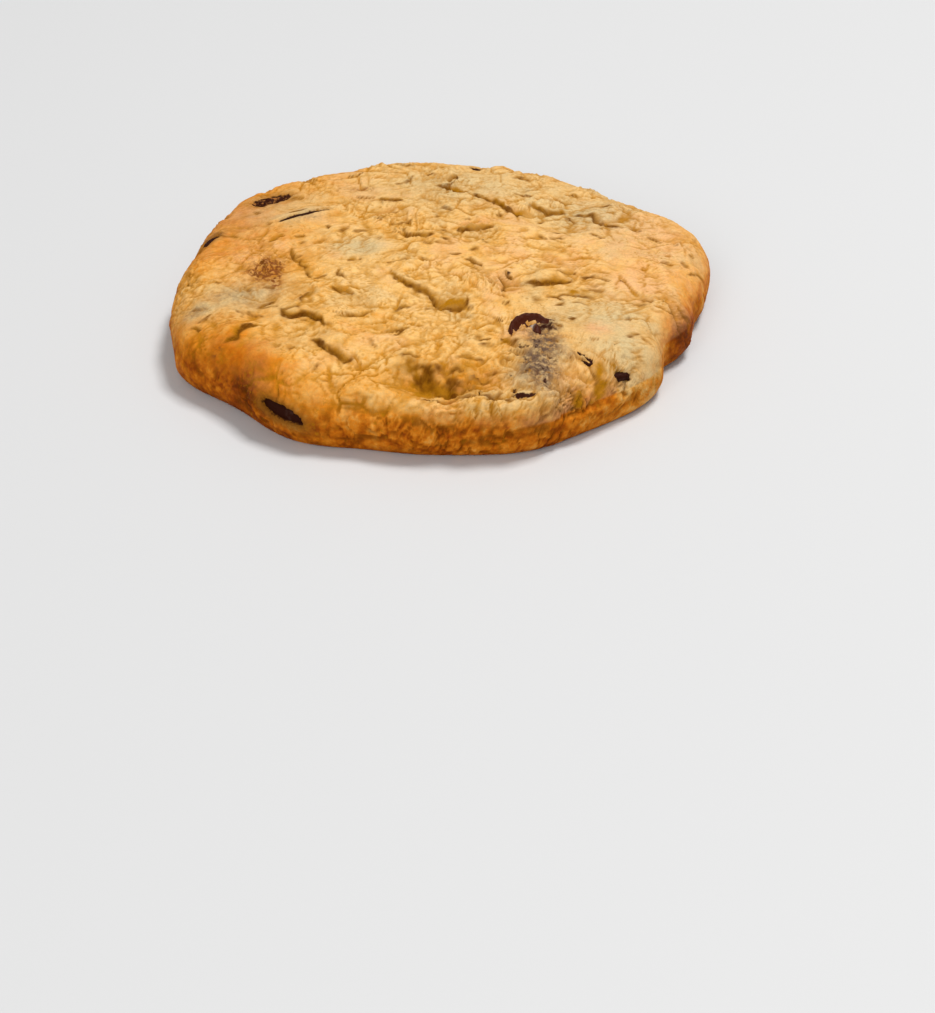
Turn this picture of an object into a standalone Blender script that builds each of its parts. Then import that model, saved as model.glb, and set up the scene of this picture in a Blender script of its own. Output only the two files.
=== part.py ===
"""A chocolate chip cookie, about 87 mm across and 13 mm high: one crackled, lumpy piece of baked dough with
chocolate chips sunk in its top, its wall and its base. Each chip is a piece of its own in a fitted pocket.

Sizes and places are in millimetres and degrees, and MM turns a length to metres. The cookie stands on z = 0,
its box is centred on the z axis, and its front, with the straight lip, faces -Y. Angle 0 is +X, 90 is +Y.
"""
import bmesh
import bpy
import math
import numpy as np

MM = 0.001

# Driving sizes of the dough.
RADIUS = 44.0
TOP_MIDDLE = 12.4
TOP_EDGE = 9.4
GIRTH_HEIGHT = 4.3
FOOT_TUCK = 2.0
SOFT_SHOULDER = 6.0
LIP_SHOULDER = 1.6
LIP_ANGLE = 283
LIP_SPREAD = 21

# The outline's radii start from here, so that its box is centred on the origin.
POLE = (-0.5, -0.1)

# The lobes and notches of the outline: middle angle, spread, rise.
LOBES = (
    (20, 14, 1.6),
    (45, 14, -1.5),
    (66, 10, -1.4),
    (82, 10, -1.0),
    (125, 16, 1.0),
    (141, 8, 1.5),
    (150, 14, 0.8),
    (167, 11, -1.7),
    (188, 12, -0.4),
    (206, 10, 1.8),
    (222, 10, -0.8),
    (240, 10, 1.0),
    (256, 10, -1.0),
    (272, 10, -0.7),
    (288, 10, 0.3),
    (303, 10, -1.1),
    (318, 10, -1.1),
    (333, 8, -4.1),
    (350, 12, -3.1),
)

# Cracks of the top: width, depth, step up to the left of its run, how far the step reaches, points.
CRACKS = (
    ("centre step", 1.2, 1.3, 1.3, 7, ((-9, -6), (-7.5, -8.8), (-6, -11.5), (-3.5, -12.4), (-1.3, -15.3),
                                       (0.5, -17.2), (3, -16), (4, -12.5))),
    ("centre plate, back", 1.1, 0.6, 0.0, 4, ((-9, -6), (-7, -3.5), (-2, -3), (3, -4.5), (6, -2.5))),
    ("back cleft", 1.3, 1.5, 0.8, 5, ((2.4, 33), (1.4, 30.5), (0, 28.6), (3.5, 26.4), (8.5, 22.6),
                                      (10.5, 20.5), (12, 17.5))),
    ("back right cleft", 1.2, 1.2, 0.8, 5, ((12.5, 21), (15, 19.9), (19, 18.9), (22, 18.6), (24, 16.6),
                                            (28, 13), (31, 11.5))),
    ("scoop", 1.3, 1.4, 1.0, 5, ((1.8, 11.2), (3.8, 11), (6, 12.2), (8, 14))),
    ("small scoop", 1.1, 1.0, 0.6, 4, ((-8, 8.6), (-5, 7.2), (-3.2, 6), (-2.2, 7.5))),
    ("pocket", 1.3, 1.4, 0.6, 4, ((9, -3.6), (10.2, -6.4), (9.6, -10.8))),
    ("ledge", 1.2, 1.0, 0.8, 5, ((10.2, -6.6), (12.5, -8.6), (14.6, -9.2), (17, -7.6), (19, -7.8))),
    ("right groove", 1.5, 0.8, 0.4, 5, ((16, -10.4), (21, -11.1), (26, -10.4))),
    ("left step", 1.3, 1.4, 1.2, 6, ((-26.5, -16), (-25, -18.1), (-23, -16.6), (-21.6, -17.8), (-20.2, -21.4),
                                     (-18.4, -22.2), (-15.4, -19.8), (-12.4, -19.3), (-10.4, -17))),
    ("left valley", 1.5, 0.8, 0.4, 5, ((-24.4, 2), (-24, -3), (-22.5, -8), (-22, -13), (-23, -16.4))),
    ("lower left step", 1.3, 1.3, 1.2, 6, ((-20.8, -25), (-18, -27.6), (-16.3, -29.8), (-14.8, -31.6),
                                           (-12.8, -30))),
    ("left edge slit", 1.0, 0.9, 0.4, 3, ((-39.7, -19.4), (-37.1, -20.6))),
    ("far left step", 1.3, 1.1, 0.8, 5, ((-34.2, -24.6), (-32.8, -24.3), (-31.6, -23.6), (-31, -22.4),
                                         (-29, -20.6))),
    ("front crease", 1.0, 1.3, 0.0, 4, ((-7.6, -37.5), (-5, -39.8), (0, -40.4), (7, -40.2), (13, -40))),
    ("front cleft", 1.2, 1.8, 0.6, 4, ((19, -28.6), (20.6, -29.7), (22.5, -31.2), (23.6, -33), (24, -34.4))),
    ("right front cleft", 1.1, 1.3, 0.4, 4, ((25.9, -32.2), (28.6, -31), (29.7, -30.2), (31.2, -28.7))),
    ("right crease", 1.8, 1.7, 0.0, 4, ((30.5, -9.5), (34, -11), (36.3, -13), (37.8, -15.8), (38.6, -18))),
    ("lower middle crack", 1.1, 0.6, 0.5, 4, ((-7, -28), (-3, -30), (3, -29.5), (8, -31))),
    ("back left crack", 1.1, 0.8, 0.5, 5, ((-20, 22), (-16, 20), (-12, 17.2), (-9, 17))),
    ("far back crack", 1.1, 0.9, 0.5, 4, ((-9, 23), (-6, 22.6), (-3.6, 23.4))),
)

# A crack is at full depth past this share of its length from either end, and this deep at the end itself.
CRACK_FADE = 0.25
CRACK_END = 0.2

# Mounds and hollows of the top: place, radius along and across, turn, rise.
MOUNDS = (
    ("front valley", -0.5, -37.0, 8.0, 2.4, -8, -1.9),
    ("front valley, left", -6.5, -34.6, 3.0, 2.0, -35, -0.8),
    ("front lip", 4.0, -42.4, 15.0, 1.3, 0, 0.7),
    ("fall to the right front", 24.5, -35.5, 6.5, 5.0, 35, -1.5),
    ("centre face", 1.4, -14.6, 2.6, 2.2, 0, -0.7),
    ("left bulge", -23.0, -28.0, 6.5, 5.0, -30, 0.9),
    ("right front lobe", 27.0, -24.0, 7.0, 6.0, 0, 0.5),
    ("right lobe", 37.0, 3.0, 6.0, 10.0, 0, -0.5),
    ("melted chip's rise", 14.0, -27.0, 4.0, 8.0, 0, 0.5),
    ("slit chip's cap", -25.0, 15.5, 7.0, 4.5, 30, 0.6),
    ("dip beside the lip", 17.5, -37.0, 3.0, 2.5, 0, -0.8),
    ("pit by the centre", -5.0, -21.8, 1.8, 1.2, 10, -1.0),
    ("pit right of the middle", 14.0, 5.6, 1.8, 1.2, 0, -0.9),
    ("left pit", -20.5, 5.2, 1.7, 1.2, 20, -0.8),
)

# Lumps all over, as smooth noise: wavelength, height.
LUMPS = ((15.0, 0.55), (7.0, 0.38), (4.2, 0.22))
LUMP_SEED = 11
NOISE_GAIN = 1.6

# The relief dies away over this height above the base, so that the foot stays flat.
FOOT_CALM = 2.5

# Whole numbers that mix a lattice point's place and seed into an even spread of directions.
MIX = (73856093, 19349663, 83492791)
MIX_SEED = 2654435761
MIX_AGAIN = 1274126177
WORD = 2 ** 32
HALF_WORD = 2 ** 16

# The grid that wraps the top and the wall has this many cells a side.
GRID_CELLS = 64

# The gap that a chip keeps to its pocket.
POCKET_GAP = 0.35
CHIP_ROUGHNESS = 0.10
CHIP_LUMPS = 1.3

# Chips of the top: place, size along, across and high, turn, depth of its middle, fineness.
TOP_CHIPS = (
    ("chip_melted", 13.8, -22.4, 7.2, 7.4, 4.6, 0, 1.5, 3),
    ("chip_slit", -25.0, 14.7, 7.4, 2.2, 3.6, 28, 1.4, 3),
    ("chip_porous", -29.3, 24.5, 7.4, 3.4, 3.4, 29, 1.2, 3),
    ("chip_rim", -38.4, 9.4, 4.8, 2.8, 3.2, 60, 1.0, 3),
    ("chip_cleft", 21.6, -30.5, 3.6, 1.8, 2.4, -38, 1.0, 2),
    ("chip_lens", 27.3, -31.6, 2.9, 1.9, 2.2, 25, 0.8, 2),
    ("chip_back", 5.2, 36.8, 2.8, 1.8, 2.2, 0, 0.8, 2),
)

# Chips of the wall: angle, height of the middle, size along, thick and high, slope, depth of its middle,
# fineness.
WALL_CHIPS = (
    ("chip_front", 239.0, 5.2, 8.6, 3.6, 3.2, 11, 1.0, 3),
    ("chip_right", 24.0, 4.6, 5.4, 3.0, 3.0, 14, 0.9, 3),
)

# Chips of the base, flat where they lie on the tray: place, size along, across and high, turn, fineness.
BASE_CHIPS = (
    ("chip_base_left", -17.0, 6.0, 8.0, 5.4, 4.4, 35, 3),
    ("chip_base_right", 15.0, -13.0, 6.0, 5.0, 4.0, -20, 3),
)

DOUGH_COLOUR = (0.66, 0.33, 0.09, 1.0)
CHOCOLATE_COLOUR = (0.035, 0.012, 0.008, 1.0)


def clear_scene():
    for thing in list(bpy.data.objects):
        bpy.data.objects.remove(thing, do_unlink=True)


def new_collection(name):
    collection = bpy.data.collections.new(name)
    bpy.context.scene.collection.children.link(collection)
    return collection


def new_material(name, colour, roughness):
    material = bpy.data.materials.new(name)
    material.use_nodes = True
    shader = material.node_tree.nodes["Principled BSDF"]
    shader.inputs["Base Color"].default_value = colour
    shader.inputs["Roughness"].default_value = roughness
    shader.inputs["Metallic"].default_value = 0.0
    return material


def bump(gap, spread, power=2):
    """1 at a gap of 0, falling smoothly to 0 past the spread; a higher power gives a flatter top."""
    return np.exp(-np.abs(gap / spread) ** power)


def turn_from(angle, middle):
    """The signed gap between two angles, -180 to 180."""
    return (angle - middle + 180.0) % 360.0 - 180.0


def outline(angle):
    """The cookie's radius at an angle: a circle with a smooth rise for each lobe."""
    radius = np.full_like(angle, RADIUS)
    for middle, spread, rise in LOBES:
        radius = radius + rise * bump(turn_from(angle, middle), spread)
    return radius


def dome(share):
    """The height of the top at a share of the radius, a shallow parabola."""
    return TOP_EDGE + (TOP_MIDDLE - TOP_EDGE) * (1.0 - share ** 2)


def wrapped(share, angle):
    """The skin and its outward normal, for shares 0 at the middle of the top to 1 at the foot.

    The profile is the dome, then a quarter ellipse over the shoulder down to the girth, then a quarter
    ellipse that tucks in to the foot. The share runs evenly along its length.
    """
    radius = outline(angle)
    lip = bump(turn_from(angle, LIP_ANGLE), LIP_SPREAD, 4)
    shoulder = SOFT_SHOULDER + (LIP_SHOULDER - SOFT_SHOULDER) * lip
    flat = radius - shoulder
    crest = dome(flat / RADIUS)
    upper = 0.5 * math.pi * np.sqrt((shoulder ** 2 + (crest - GIRTH_HEIGHT) ** 2) / 2)
    lower = 0.5 * math.pi * math.sqrt((FOOT_TUCK ** 2 + GIRTH_HEIGHT ** 2) / 2)
    run = share * (flat + upper + lower)
    over = 0.5 * math.pi * np.clip((run - flat) / upper, 0, 1)
    under = 0.5 * math.pi * np.clip((run - flat - upper) / lower, 0, 1)
    tucked = under > 0
    shoulder_out = np.minimum(run, flat) + shoulder * np.sin(over)
    shoulder_up = crest - (crest - GIRTH_HEIGHT) * (1 - np.cos(over))
    out = np.where(tucked, radius - FOOT_TUCK * (1 - np.cos(under)), shoulder_out)
    up = np.where(tucked, GIRTH_HEIGHT * (1 - np.sin(under)), shoulder_up)
    up = np.where(run < flat, dome(run / RADIUS), up)
    lean = np.where(tucked, 0.5 * math.pi, over)
    ray = np.stack([np.cos(np.radians(angle)), np.sin(np.radians(angle))], -1)
    place = np.concatenate([ray * out[:, None] + POLE, up[:, None]], -1)
    normal = np.concatenate([ray * np.sin(lean)[:, None], np.cos(lean)[:, None]], -1)
    return place, normal


def lattice_gradient(cell, seed):
    """An even pseudo-random direction for each lattice point, the same on each run."""
    mixed = (cell @ np.array(MIX) + seed * MIX_SEED) % WORD
    mixed = (mixed ^ (mixed >> 13)) * MIX_AGAIN % WORD
    rise = 2.0 * (mixed % HALF_WORD) / HALF_WORD - 1.0
    turn = 2.0 * math.pi * (mixed // HALF_WORD) / HALF_WORD
    level = np.sqrt(np.maximum(1.0 - rise ** 2, 0.0))
    return np.stack([level * np.cos(turn), level * np.sin(turn), rise], -1)


def smooth_noise(place, seed):
    """Gradient noise, about -1 to 1: the slopes of eight corners, blended by a smooth step each way."""
    cell = np.floor(place).astype(np.int64)
    part = place - cell
    ease = part ** 3 * (part * (part * 6 - 15) + 10)
    total = np.zeros(len(place))
    for corner in np.ndindex(2, 2, 2):
        step = np.array(corner)
        weight = np.prod(np.where(step, ease, 1 - ease), axis=-1)
        slope = lattice_gradient(cell + step, seed)
        total += weight * np.sum(slope * (part - step), axis=-1)
    return total * NOISE_GAIN


def crack(place, width, depth, step, reach, points):
    """A groove along a line, with the ground half the step up on its left and half down on its right.

    The step sinks back over its reach, and both are shallower near the line's two ends.
    """
    nearest = np.full(len(place), np.inf)
    side = np.zeros(len(place))
    along = np.zeros(len(place))
    ends = np.array(points, dtype=float)
    lengths = np.linalg.norm(np.diff(ends, axis=0), axis=1)
    start = 0.0
    for first, last, length in zip(ends[:-1], ends[1:], lengths):
        run = (last - first) / length
        away = place[:, :2] - first
        gone = np.clip(away @ run, 0, length)
        gap = np.linalg.norm(away - gone[:, None] * run, axis=1)
        closer = gap < nearest
        nearest = np.where(closer, gap, nearest)
        side = np.where(closer, run[0] * away[:, 1] - run[1] * away[:, 0], side)
        along = np.where(closer, start + gone, along)
        start += length
    from_end = np.minimum(along, start - along) / (CRACK_FADE * start)
    fade = CRACK_END + (1 - CRACK_END) * np.clip(from_end, 0, 1)
    raised = 0.5 * step * np.tanh(side / width) * bump(nearest, reach)
    return fade * (raised - depth * bump(nearest, width))


def mound(place, x, y, along, across, turn, rise):
    """A smooth elliptical mound or, with a negative rise, a hollow."""
    run = math.radians(turn)
    dx = place[:, 0] - x
    dy = place[:, 1] - y
    first = (dx * math.cos(run) + dy * math.sin(run)) / along
    second = (dy * math.cos(run) - dx * math.sin(run)) / across
    return rise * np.exp(-first ** 2 - second ** 2)


def relief(place, normal):
    """How far the skin stands out along its normal.

    The top has its cracks and mounds, the whole skin has its lumps, and all of it dies away at the foot.
    """
    height = np.zeros(len(place))
    for name, width, depth, step, reach, points in CRACKS:
        height += crack(place, width, depth, step, reach, points)
    for name, x, y, along, across, turn, rise in MOUNDS:
        height += mound(place, x, y, along, across, turn, rise)
    height *= normal[:, 2] ** 0.5
    for number, (length, rise) in enumerate(LUMPS):
        height += rise * smooth_noise(place / length, LUMP_SEED + number)
    return height * np.clip(place[:, 2] / FOOT_CALM, 0, 1)


def disc_share(u, v):
    """Square to disc: rings of the square, -1 to 1, become rings of the disc, evenly round each ring."""
    share = np.maximum(np.abs(u), np.abs(v))
    wide = np.abs(u) >= np.abs(v)
    base = np.where(wide, u, v)
    base = np.where(base == 0, 1e-9, base)
    part = np.where(wide, v, u) / base
    angle = np.where(wide, 45.0 * part, 90.0 - 45.0 * part)
    return share, np.where(base < 0, angle + 180.0, angle) % 360.0


def mesh_places(mesh):
    flat = np.empty(len(mesh.vertices) * 3)
    mesh.vertices.foreach_get("co", flat)
    return flat.reshape(-1, 3)


def mesh_from(bm, name):
    mesh = bpy.data.meshes.new(name)
    bm.to_mesh(mesh)
    bm.free()
    return mesh


def add_object(name, mesh, collection, material):
    thing = bpy.data.objects.new(name, mesh)
    collection.objects.link(thing)
    if material:
        mesh.materials.append(material)
    mesh.shade_smooth()
    return thing


def skin_at(share, angle):
    """The finished skin, relief and all, in millimetres."""
    place, normal = wrapped(share, angle)
    return place + normal * relief(place, normal)[:, None], normal


def make_dough(collection, material):
    """A flat grid, wrapped over the top and down the wall, and closed by a fan on z = 0."""
    bm = bmesh.new()
    bmesh.ops.create_grid(bm, x_segments=GRID_CELLS, y_segments=GRID_CELLS, size=1.0)
    flat = np.array([vert.co for vert in bm.verts])
    skin, normal = skin_at(*disc_share(flat[:, 0], flat[:, 1]))
    for vert, place in zip(bm.verts, skin * MM):
        vert.co = place
    rim = [edge for edge in bm.edges if edge.is_boundary]
    base = bmesh.ops.contextual_create(bm, geom=rim)["faces"]
    bmesh.ops.poke(bm, faces=base)
    bmesh.ops.recalc_face_normals(bm, faces=bm.faces)
    return add_object("dough", mesh_from(bm, "dough"), collection, material)


def chip_mesh(name, size, fineness, grow, flat_below=None):
    """A rounded chunk of the given size, a little lumpy, grown on all sides for a pocket."""
    bm = bmesh.new()
    bmesh.ops.create_icosphere(bm, subdivisions=fineness, radius=1.0)
    mesh = mesh_from(bm, name)
    ball = mesh_places(mesh)
    seed = sum(ord(letter) for letter in name)
    lumpy = 1.0 + CHIP_ROUGHNESS * smooth_noise(ball * CHIP_LUMPS, seed)
    place = ball * lumpy[:, None] * (np.array(size) / 2) + ball * grow
    if flat_below is not None:
        place[:, 2] = np.maximum(place[:, 2], flat_below)
    mesh.vertices.foreach_set("co", (place * MM).ravel())
    mesh.update()
    return mesh


def place_chip(name, size, middle, turns, fineness, collection, cutters, material, flat_below=None):
    """A chip and the cutter of its pocket, which is the same chunk grown by the pocket's gap."""
    chip = add_object(name, chip_mesh(name, size, fineness, 0.0, flat_below), collection, material)
    cutter_mesh = chip_mesh(name, size, fineness, POCKET_GAP)
    cutter = add_object(name + "_pocket", cutter_mesh, cutters, None)
    cutter.hide_render = True
    cutter.display_type = "WIRE"
    for thing in (chip, cutter):
        thing.location = [value * MM for value in middle]
        thing.rotation_euler = [math.radians(turn) for turn in turns]


def make_top_chips(collection, cutters, material):
    for name, x, y, along, across, high, turn, depth, fineness in TOP_CHIPS:
        skin, normal = skin_at(*share_over(x, y))
        middle = (x, y, skin[0, 2] - depth)
        place_chip(name, (along, across, high), middle, (0, 0, turn), fineness, collection, cutters, material)


def share_over(x, y):
    """The share and angle of the skin over a place of the top, found by halving."""
    angle = np.array([math.degrees(math.atan2(y - POLE[1], x - POLE[0])) % 360.0])
    low = np.array([0.0])
    high = np.array([1.0])
    goal = math.hypot(x - POLE[0], y - POLE[1])
    for step in range(30):
        middle = (low + high) / 2
        place, normal = wrapped(middle, angle)
        short = math.hypot(place[0, 0] - POLE[0], place[0, 1] - POLE[1]) < goal
        low, high = (middle, high) if short else (low, middle)
    return low, angle


def make_wall_chips(collection, cutters, material):
    """Each is turned so that its thickness points out of the wall."""
    for name, angle, height, along, thick, high, slope, depth, fineness in WALL_CHIPS:
        shares = np.linspace(0.7, 1.0, 121)
        skin, normal = skin_at(shares, np.full_like(shares, angle))
        nearest = int(np.argmin(np.abs(skin[:, 2] - height)))
        middle = skin[nearest] - normal[nearest] * depth
        turns = (0, slope, angle + 90.0)
        place_chip(name, (along, thick, high), middle, turns, fineness, collection, cutters, material)


def make_base_chips(collection, cutters, material):
    for name, x, y, along, across, high, turn, fineness in BASE_CHIPS:
        size = (along, across, high)
        place_chip(name, size, (x, y, 0), (0, 0, turn), fineness, collection, cutters, material, 0.0)


def cut_pockets(dough, cutters):
    cut = dough.modifiers.new("pockets", "BOOLEAN")
    cut.operation = "DIFFERENCE"
    cut.solver = "EXACT"
    cut.operand_type = "COLLECTION"
    cut.collection = cutters


def main():
    clear_scene()
    cookie = new_collection("chocolate chip cookie")
    cutters = new_collection("cutters")
    dough_material = new_material("dough", DOUGH_COLOUR, 0.8)
    chocolate = new_material("chocolate", CHOCOLATE_COLOUR, 0.4)
    dough = make_dough(cookie, dough_material)
    make_top_chips(cookie, cutters, chocolate)
    make_wall_chips(cookie, cutters, chocolate)
    make_base_chips(cookie, cutters, chocolate)
    cut_pockets(dough, cutters)


main()
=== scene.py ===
import math

import bpy
import numpy as np
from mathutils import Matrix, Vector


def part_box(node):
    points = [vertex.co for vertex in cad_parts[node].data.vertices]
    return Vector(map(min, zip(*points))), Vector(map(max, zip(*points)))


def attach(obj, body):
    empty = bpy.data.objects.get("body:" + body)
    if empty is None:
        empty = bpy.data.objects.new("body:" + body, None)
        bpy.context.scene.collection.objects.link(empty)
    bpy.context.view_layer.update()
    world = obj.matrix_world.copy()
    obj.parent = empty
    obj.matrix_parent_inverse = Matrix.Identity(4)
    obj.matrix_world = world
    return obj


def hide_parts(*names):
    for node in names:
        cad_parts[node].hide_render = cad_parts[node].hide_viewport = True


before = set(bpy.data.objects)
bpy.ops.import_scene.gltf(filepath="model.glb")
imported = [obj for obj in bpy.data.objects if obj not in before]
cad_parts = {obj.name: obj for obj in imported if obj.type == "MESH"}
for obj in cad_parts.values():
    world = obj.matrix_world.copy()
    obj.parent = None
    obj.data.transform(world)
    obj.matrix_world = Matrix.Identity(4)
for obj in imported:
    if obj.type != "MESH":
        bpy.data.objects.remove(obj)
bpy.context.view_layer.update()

# Lengths are in millimetres and angles in degrees, and MM turns a length to metres. The cookie's front, with
# its straight lip, faces -Y. Angle 0 is +X and 90 is +Y.
MM = 0.001

# The baked form, as the solids have it.
RADIUS = 44.0
TOP_MIDDLE = 12.4
TOP_EDGE = 9.4
GIRTH_HEIGHT = 4.3
FOOT_TUCK = 2.0
SOFT_SHOULDER = 6.0
LIP_SHOULDER = 1.6
LIP_ANGLE = 283
LIP_SPREAD = 21
POLE = (-0.5, -0.1)
FOOT_CALM = 2.5

# Lobes and notches of the outline: middle angle, spread, rise.
LOBES = (
    (20, 14, 1.6), (45, 14, -1.5), (66, 10, -1.4), (82, 10, -1), (125, 16, 1), (141, 8, 1.5), (150, 14, 0.8),
    (167, 11, -1.7), (188, 12, -0.4), (206, 10, 1.8), (222, 10, -0.8), (240, 10, 1), (256, 10, -1),
    (272, 10, -0.7), (288, 10, 0.3), (303, 10, -1.1), (318, 10, -1.1), (333, 8, -4.1), (350, 12, -3.1),
)

# Cracks of the top, where the side to the left of the run stands higher: width of the broken face, depth of
# the gash at its foot, step from side to side, reach of the step, stain and painted shade, points.
CRACKS = (
    # The steps of the middle.
    (0.7, 0.9, 0.7, 3, 0.9, ((-8.6, -4.6), (-8.4, -6.6), (-7.5, -8.2), (-6.6, -10), (-4.8, -11.4),
     (-2.4, -12.4), (-1.4, -14.2))),
    (1.4, 0.8, 1.1, 5, 0.8, ((-5.4, -11.4), (-2.4, -12.6), (-1.8, -14.2), (-0.4, -16.2), (0.6, -17),
     (2.2, -16), (3.5, -15), (3.7, -12.6), (3.8, -11.4))),
    (0.35, 0.35, 0, 3, 0.5, ((-9.4, -2.6), (-8.6, -3.6), (-6.6, -3), (-5, -3.4))),
    # The clefts at the back.
    (0.5, 0.9, 0.3, 3, 0.9, ((1.6, 33.4), (2, 31.8), (1.6, 29.9), (0.8, 29.2))),
    (0.9, 0.9, 0.6, 3, 1, ((-2.2, 28.2), (-0.8, 27.8), (0.9, 27.6), (2.8, 26.3), (4.6, 25.9))),
    (0.4, 0.8, 0.5, 4, 0.9, ((4.2, 25.4), (5.2, 23.8), (6.6, 22.6), (8, 21.6))),
    (1.5, 0.6, 1, 5, 1, ((6.4, 22.9), (7.6, 21.8), (9.4, 19.4), (11.6, 17.4), (12.9, 16.4), (13.8, 16.6))),
    (0.9, 0.7, 0.9, 5, 0.9, ((13.2, 20), (15, 18.8), (16.9, 17.9), (18.6, 18.2), (20.4, 18))),
    (0.8, 0.8, 0.7, 4, 0.8, ((20.4, 17.2), (22, 17.3), (23, 16.6), (24.2, 16.9), (25.2, 15.2), (26.8, 13.2),
     (28.6, 12.6), (30.6, 12.6))),
    (0.7, 0.6, 0.3, 3, 0.7, ((18.6, 22.8), (20.4, 22.4), (22, 22.6))),
    # The scoops and dents behind the middle.
    (1.3, 0.9, 1.2, 4, 0.8, ((2.4, 12), (2.6, 10.2), (3.4, 9.6), (5, 10), (6.8, 11), (8.8, 12.4))),
    (1, 0.7, 0.7, 3, 0.9, ((-7.6, 8.4), (-6, 7.6), (-4.6, 6.9), (-3.4, 6.2), (-2.6, 7.4), (-1.8, 8.6))),
    (0.35, 0.4, 0.3, 3, 0.5, ((-9.6, 12.2), (-8.2, 12), (-6.4, 12.4), (-4.6, 12.2))),
    (1.2, 0.7, 0.4, 3, 0.9, ((-12.2, 22.6), (-10.6, 21.8), (-8.6, 21.9), (-7.2, 21.3))),
    # The pocket, the ledge and the groove on the right.
    (0.5, 1.1, 0.3, 3, 0.6, ((8.7, -6.2), (9.3, -8.4), (9.5, -10.2), (9.6, -12.6))),
    (0.6, 1.1, 0.4, 3, 0.7, ((9.2, -5.2), (10.4, -6.9), (11.4, -7.4))),
    (1, 0.8, 0.9, 4, 0.9, ((11.6, -8.2), (12.9, -9.1), (14.8, -10.2), (16, -9.3), (17.6, -8.2), (19.6, -7.9),
     (21.4, -7.4))),
    (1.3, 0.3, 0.4, 4, 0.7, ((16, -12.6), (20.3, -12.3), (25, -12))),
    # The steps, valleys and nicks on the left.
    (0.8, 0.9, 1.1, 5, 0.9, ((-26.4, -14.6), (-25.4, -17.4), (-24, -18.8), (-22.2, -18), (-20.6, -18.6),
     (-19.6, -20.8), (-17.6, -22.6), (-15.6, -22.8))),
    (0.5, 0.5, 0.5, 4, 0.7, ((-16.8, -19.8), (-14.6, -20), (-12.5, -19.8), (-10.7, -17.2))),
    (1.2, 0.4, 0.3, 4, 0.6, ((-22.9, 1), (-22.4, -3), (-21.6, -5.4), (-20.2, -7.2))),
    (1.3, 0.3, 0.3, 4, 0.7, ((-21.2, -11), (-21.6, -14), (-22.4, -17))),
    (0.4, 0.7, 0.3, 3, 0.6, ((-17.7, -4.6), (-16.6, -6.2), (-15.4, -8.2))),
    (0.5, 0.8, 0.3, 2, 0.7, ((-19.6, 12.4), (-19, 11.4), (-19.1, 10.2))),
    (1.1, 0.5, 0.4, 3, 0.7, ((-24.4, 5), (-24.8, 3), (-24.2, 0.4), (-22.8, -1.6))),
    (0.9, 0.9, 1.1, 5, 0.9, ((-20.6, -25), (-18.4, -27.4), (-16.8, -29.8), (-15.2, -31.6), (-13.8, -31.2),
     (-12.8, -29.6))),
    (0.4, 0.9, 0.3, 2, 0.5, ((-39.7, -19.4), (-38.4, -19.5), (-37.1, -20.6))),
    (1, 0.7, 0.8, 4, 0.9, ((-34, -24.9), (-32.8, -24.6), (-31.5, -24), (-30.9, -22.7), (-28.9, -20.9),
     (-27.6, -20.2))),
    # The valley's wall, the crease and the clefts in front.
    (2.2, 1, 1.2, 4, 1, ((-6.4, -32.6), (-4.6, -34.4), (-2.4, -36.2), (-0.2, -37.8), (2.4, -38.6),
     (5, -38.8))),
    (0.5, 1, 0.4, 3, 0.5, ((-5.6, -41), (-2, -40.9), (1.4, -40.3), (5.6, -40.4), (10, -40.4),
     (13.4, -40.6))),
    (1, 1.6, 0.7, 3, 0.4, ((18.2, -28), (19.2, -29.3), (20.9, -30.3), (22.2, -31.6), (22.6, -33),
     (23.9, -34.4), (24.6, -36.2))),
    (0.9, 1, 0.4, 3, 0.4, ((17.6, -35.2), (18.9, -36.6), (20.6, -37.8), (22.4, -37.4), (23.6, -36))),
    (0.4, 0.6, 0.3, 3, 0.4, ((25.8, -32.2), (28.2, -31.6), (29.7, -30.6), (31.4, -29.2))),
    # The crease and the small cracks on the right.
    (1.3, 1.5, 0, 4, 0, ((31, -10), (34, -11.4), (36.3, -13), (37.8, -15.8), (38.6, -18))),
    (0.5, 0.5, 0.3, 3, 0.2, ((30.6, -10.4), (31.8, -12), (33.2, -13.2))),
    (0.5, 0.6, 0.3, 2, 0.6, ((21.6, -5.6), (22.8, -5.9), (24.2, -5.4))),
    (0.4, 0.6, 0.2, 2, 0.6, ((27.2, -6.4), (28.4, -6.3))),
    # The small cracks of the middle, and before it.
    (0.4, 0.7, 0.3, 3, 0.6, ((4.4, -0.6), (4.9, -1.9), (6.1, -4.1))),
    (0.5, 0.4, 0.35, 3, 0.6, ((-7, -31.6), (-5.6, -30.9), (-4.4, -31.4), (-2.8, -30.8))),
    (0.5, 0.4, 0.3, 3, 0.6, ((1.2, -32.4), (2.8, -31.4), (4.2, -32), (6.4, -31.4))),
    (0.5, 0.35, 0.35, 3, 0.6, ((0.8, -34.8), (2.6, -34.2), (4.2, -34.8))),
    (0.5, 0.35, 0.3, 3, 0.6, ((6, -34.4), (7.6, -35), (9, -34.2))),
    (0.8, 0.5, 0.5, 2, 0.9, ((8.4, -25.6), (9.4, -26.6), (10.8, -26.9), (12, -26.4))),
    (0.3, 0.4, 0.2, 2, 0.5, ((16.2, -25), (17, -26), (17.6, -27.2))),
)

# A crack is at full depth past this share of its length from either end, and its face has this share of its
# width at the end itself. Its lower side falls into the gash over the lip.
CRACK_FADE = 0.36
CRACK_END = 0.15
CRACK_LIP = 0.26
# Shares of the table's widths and depths. A step past the full one has a shallow gash.
CRACK_SPREADING = 1.2
CRACK_SHALLOWING = 0.45
STEP_SHALLOWING = 0.12
FULL_STEP = 0.65
LIP_SHALLOWING = 0.9
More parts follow.
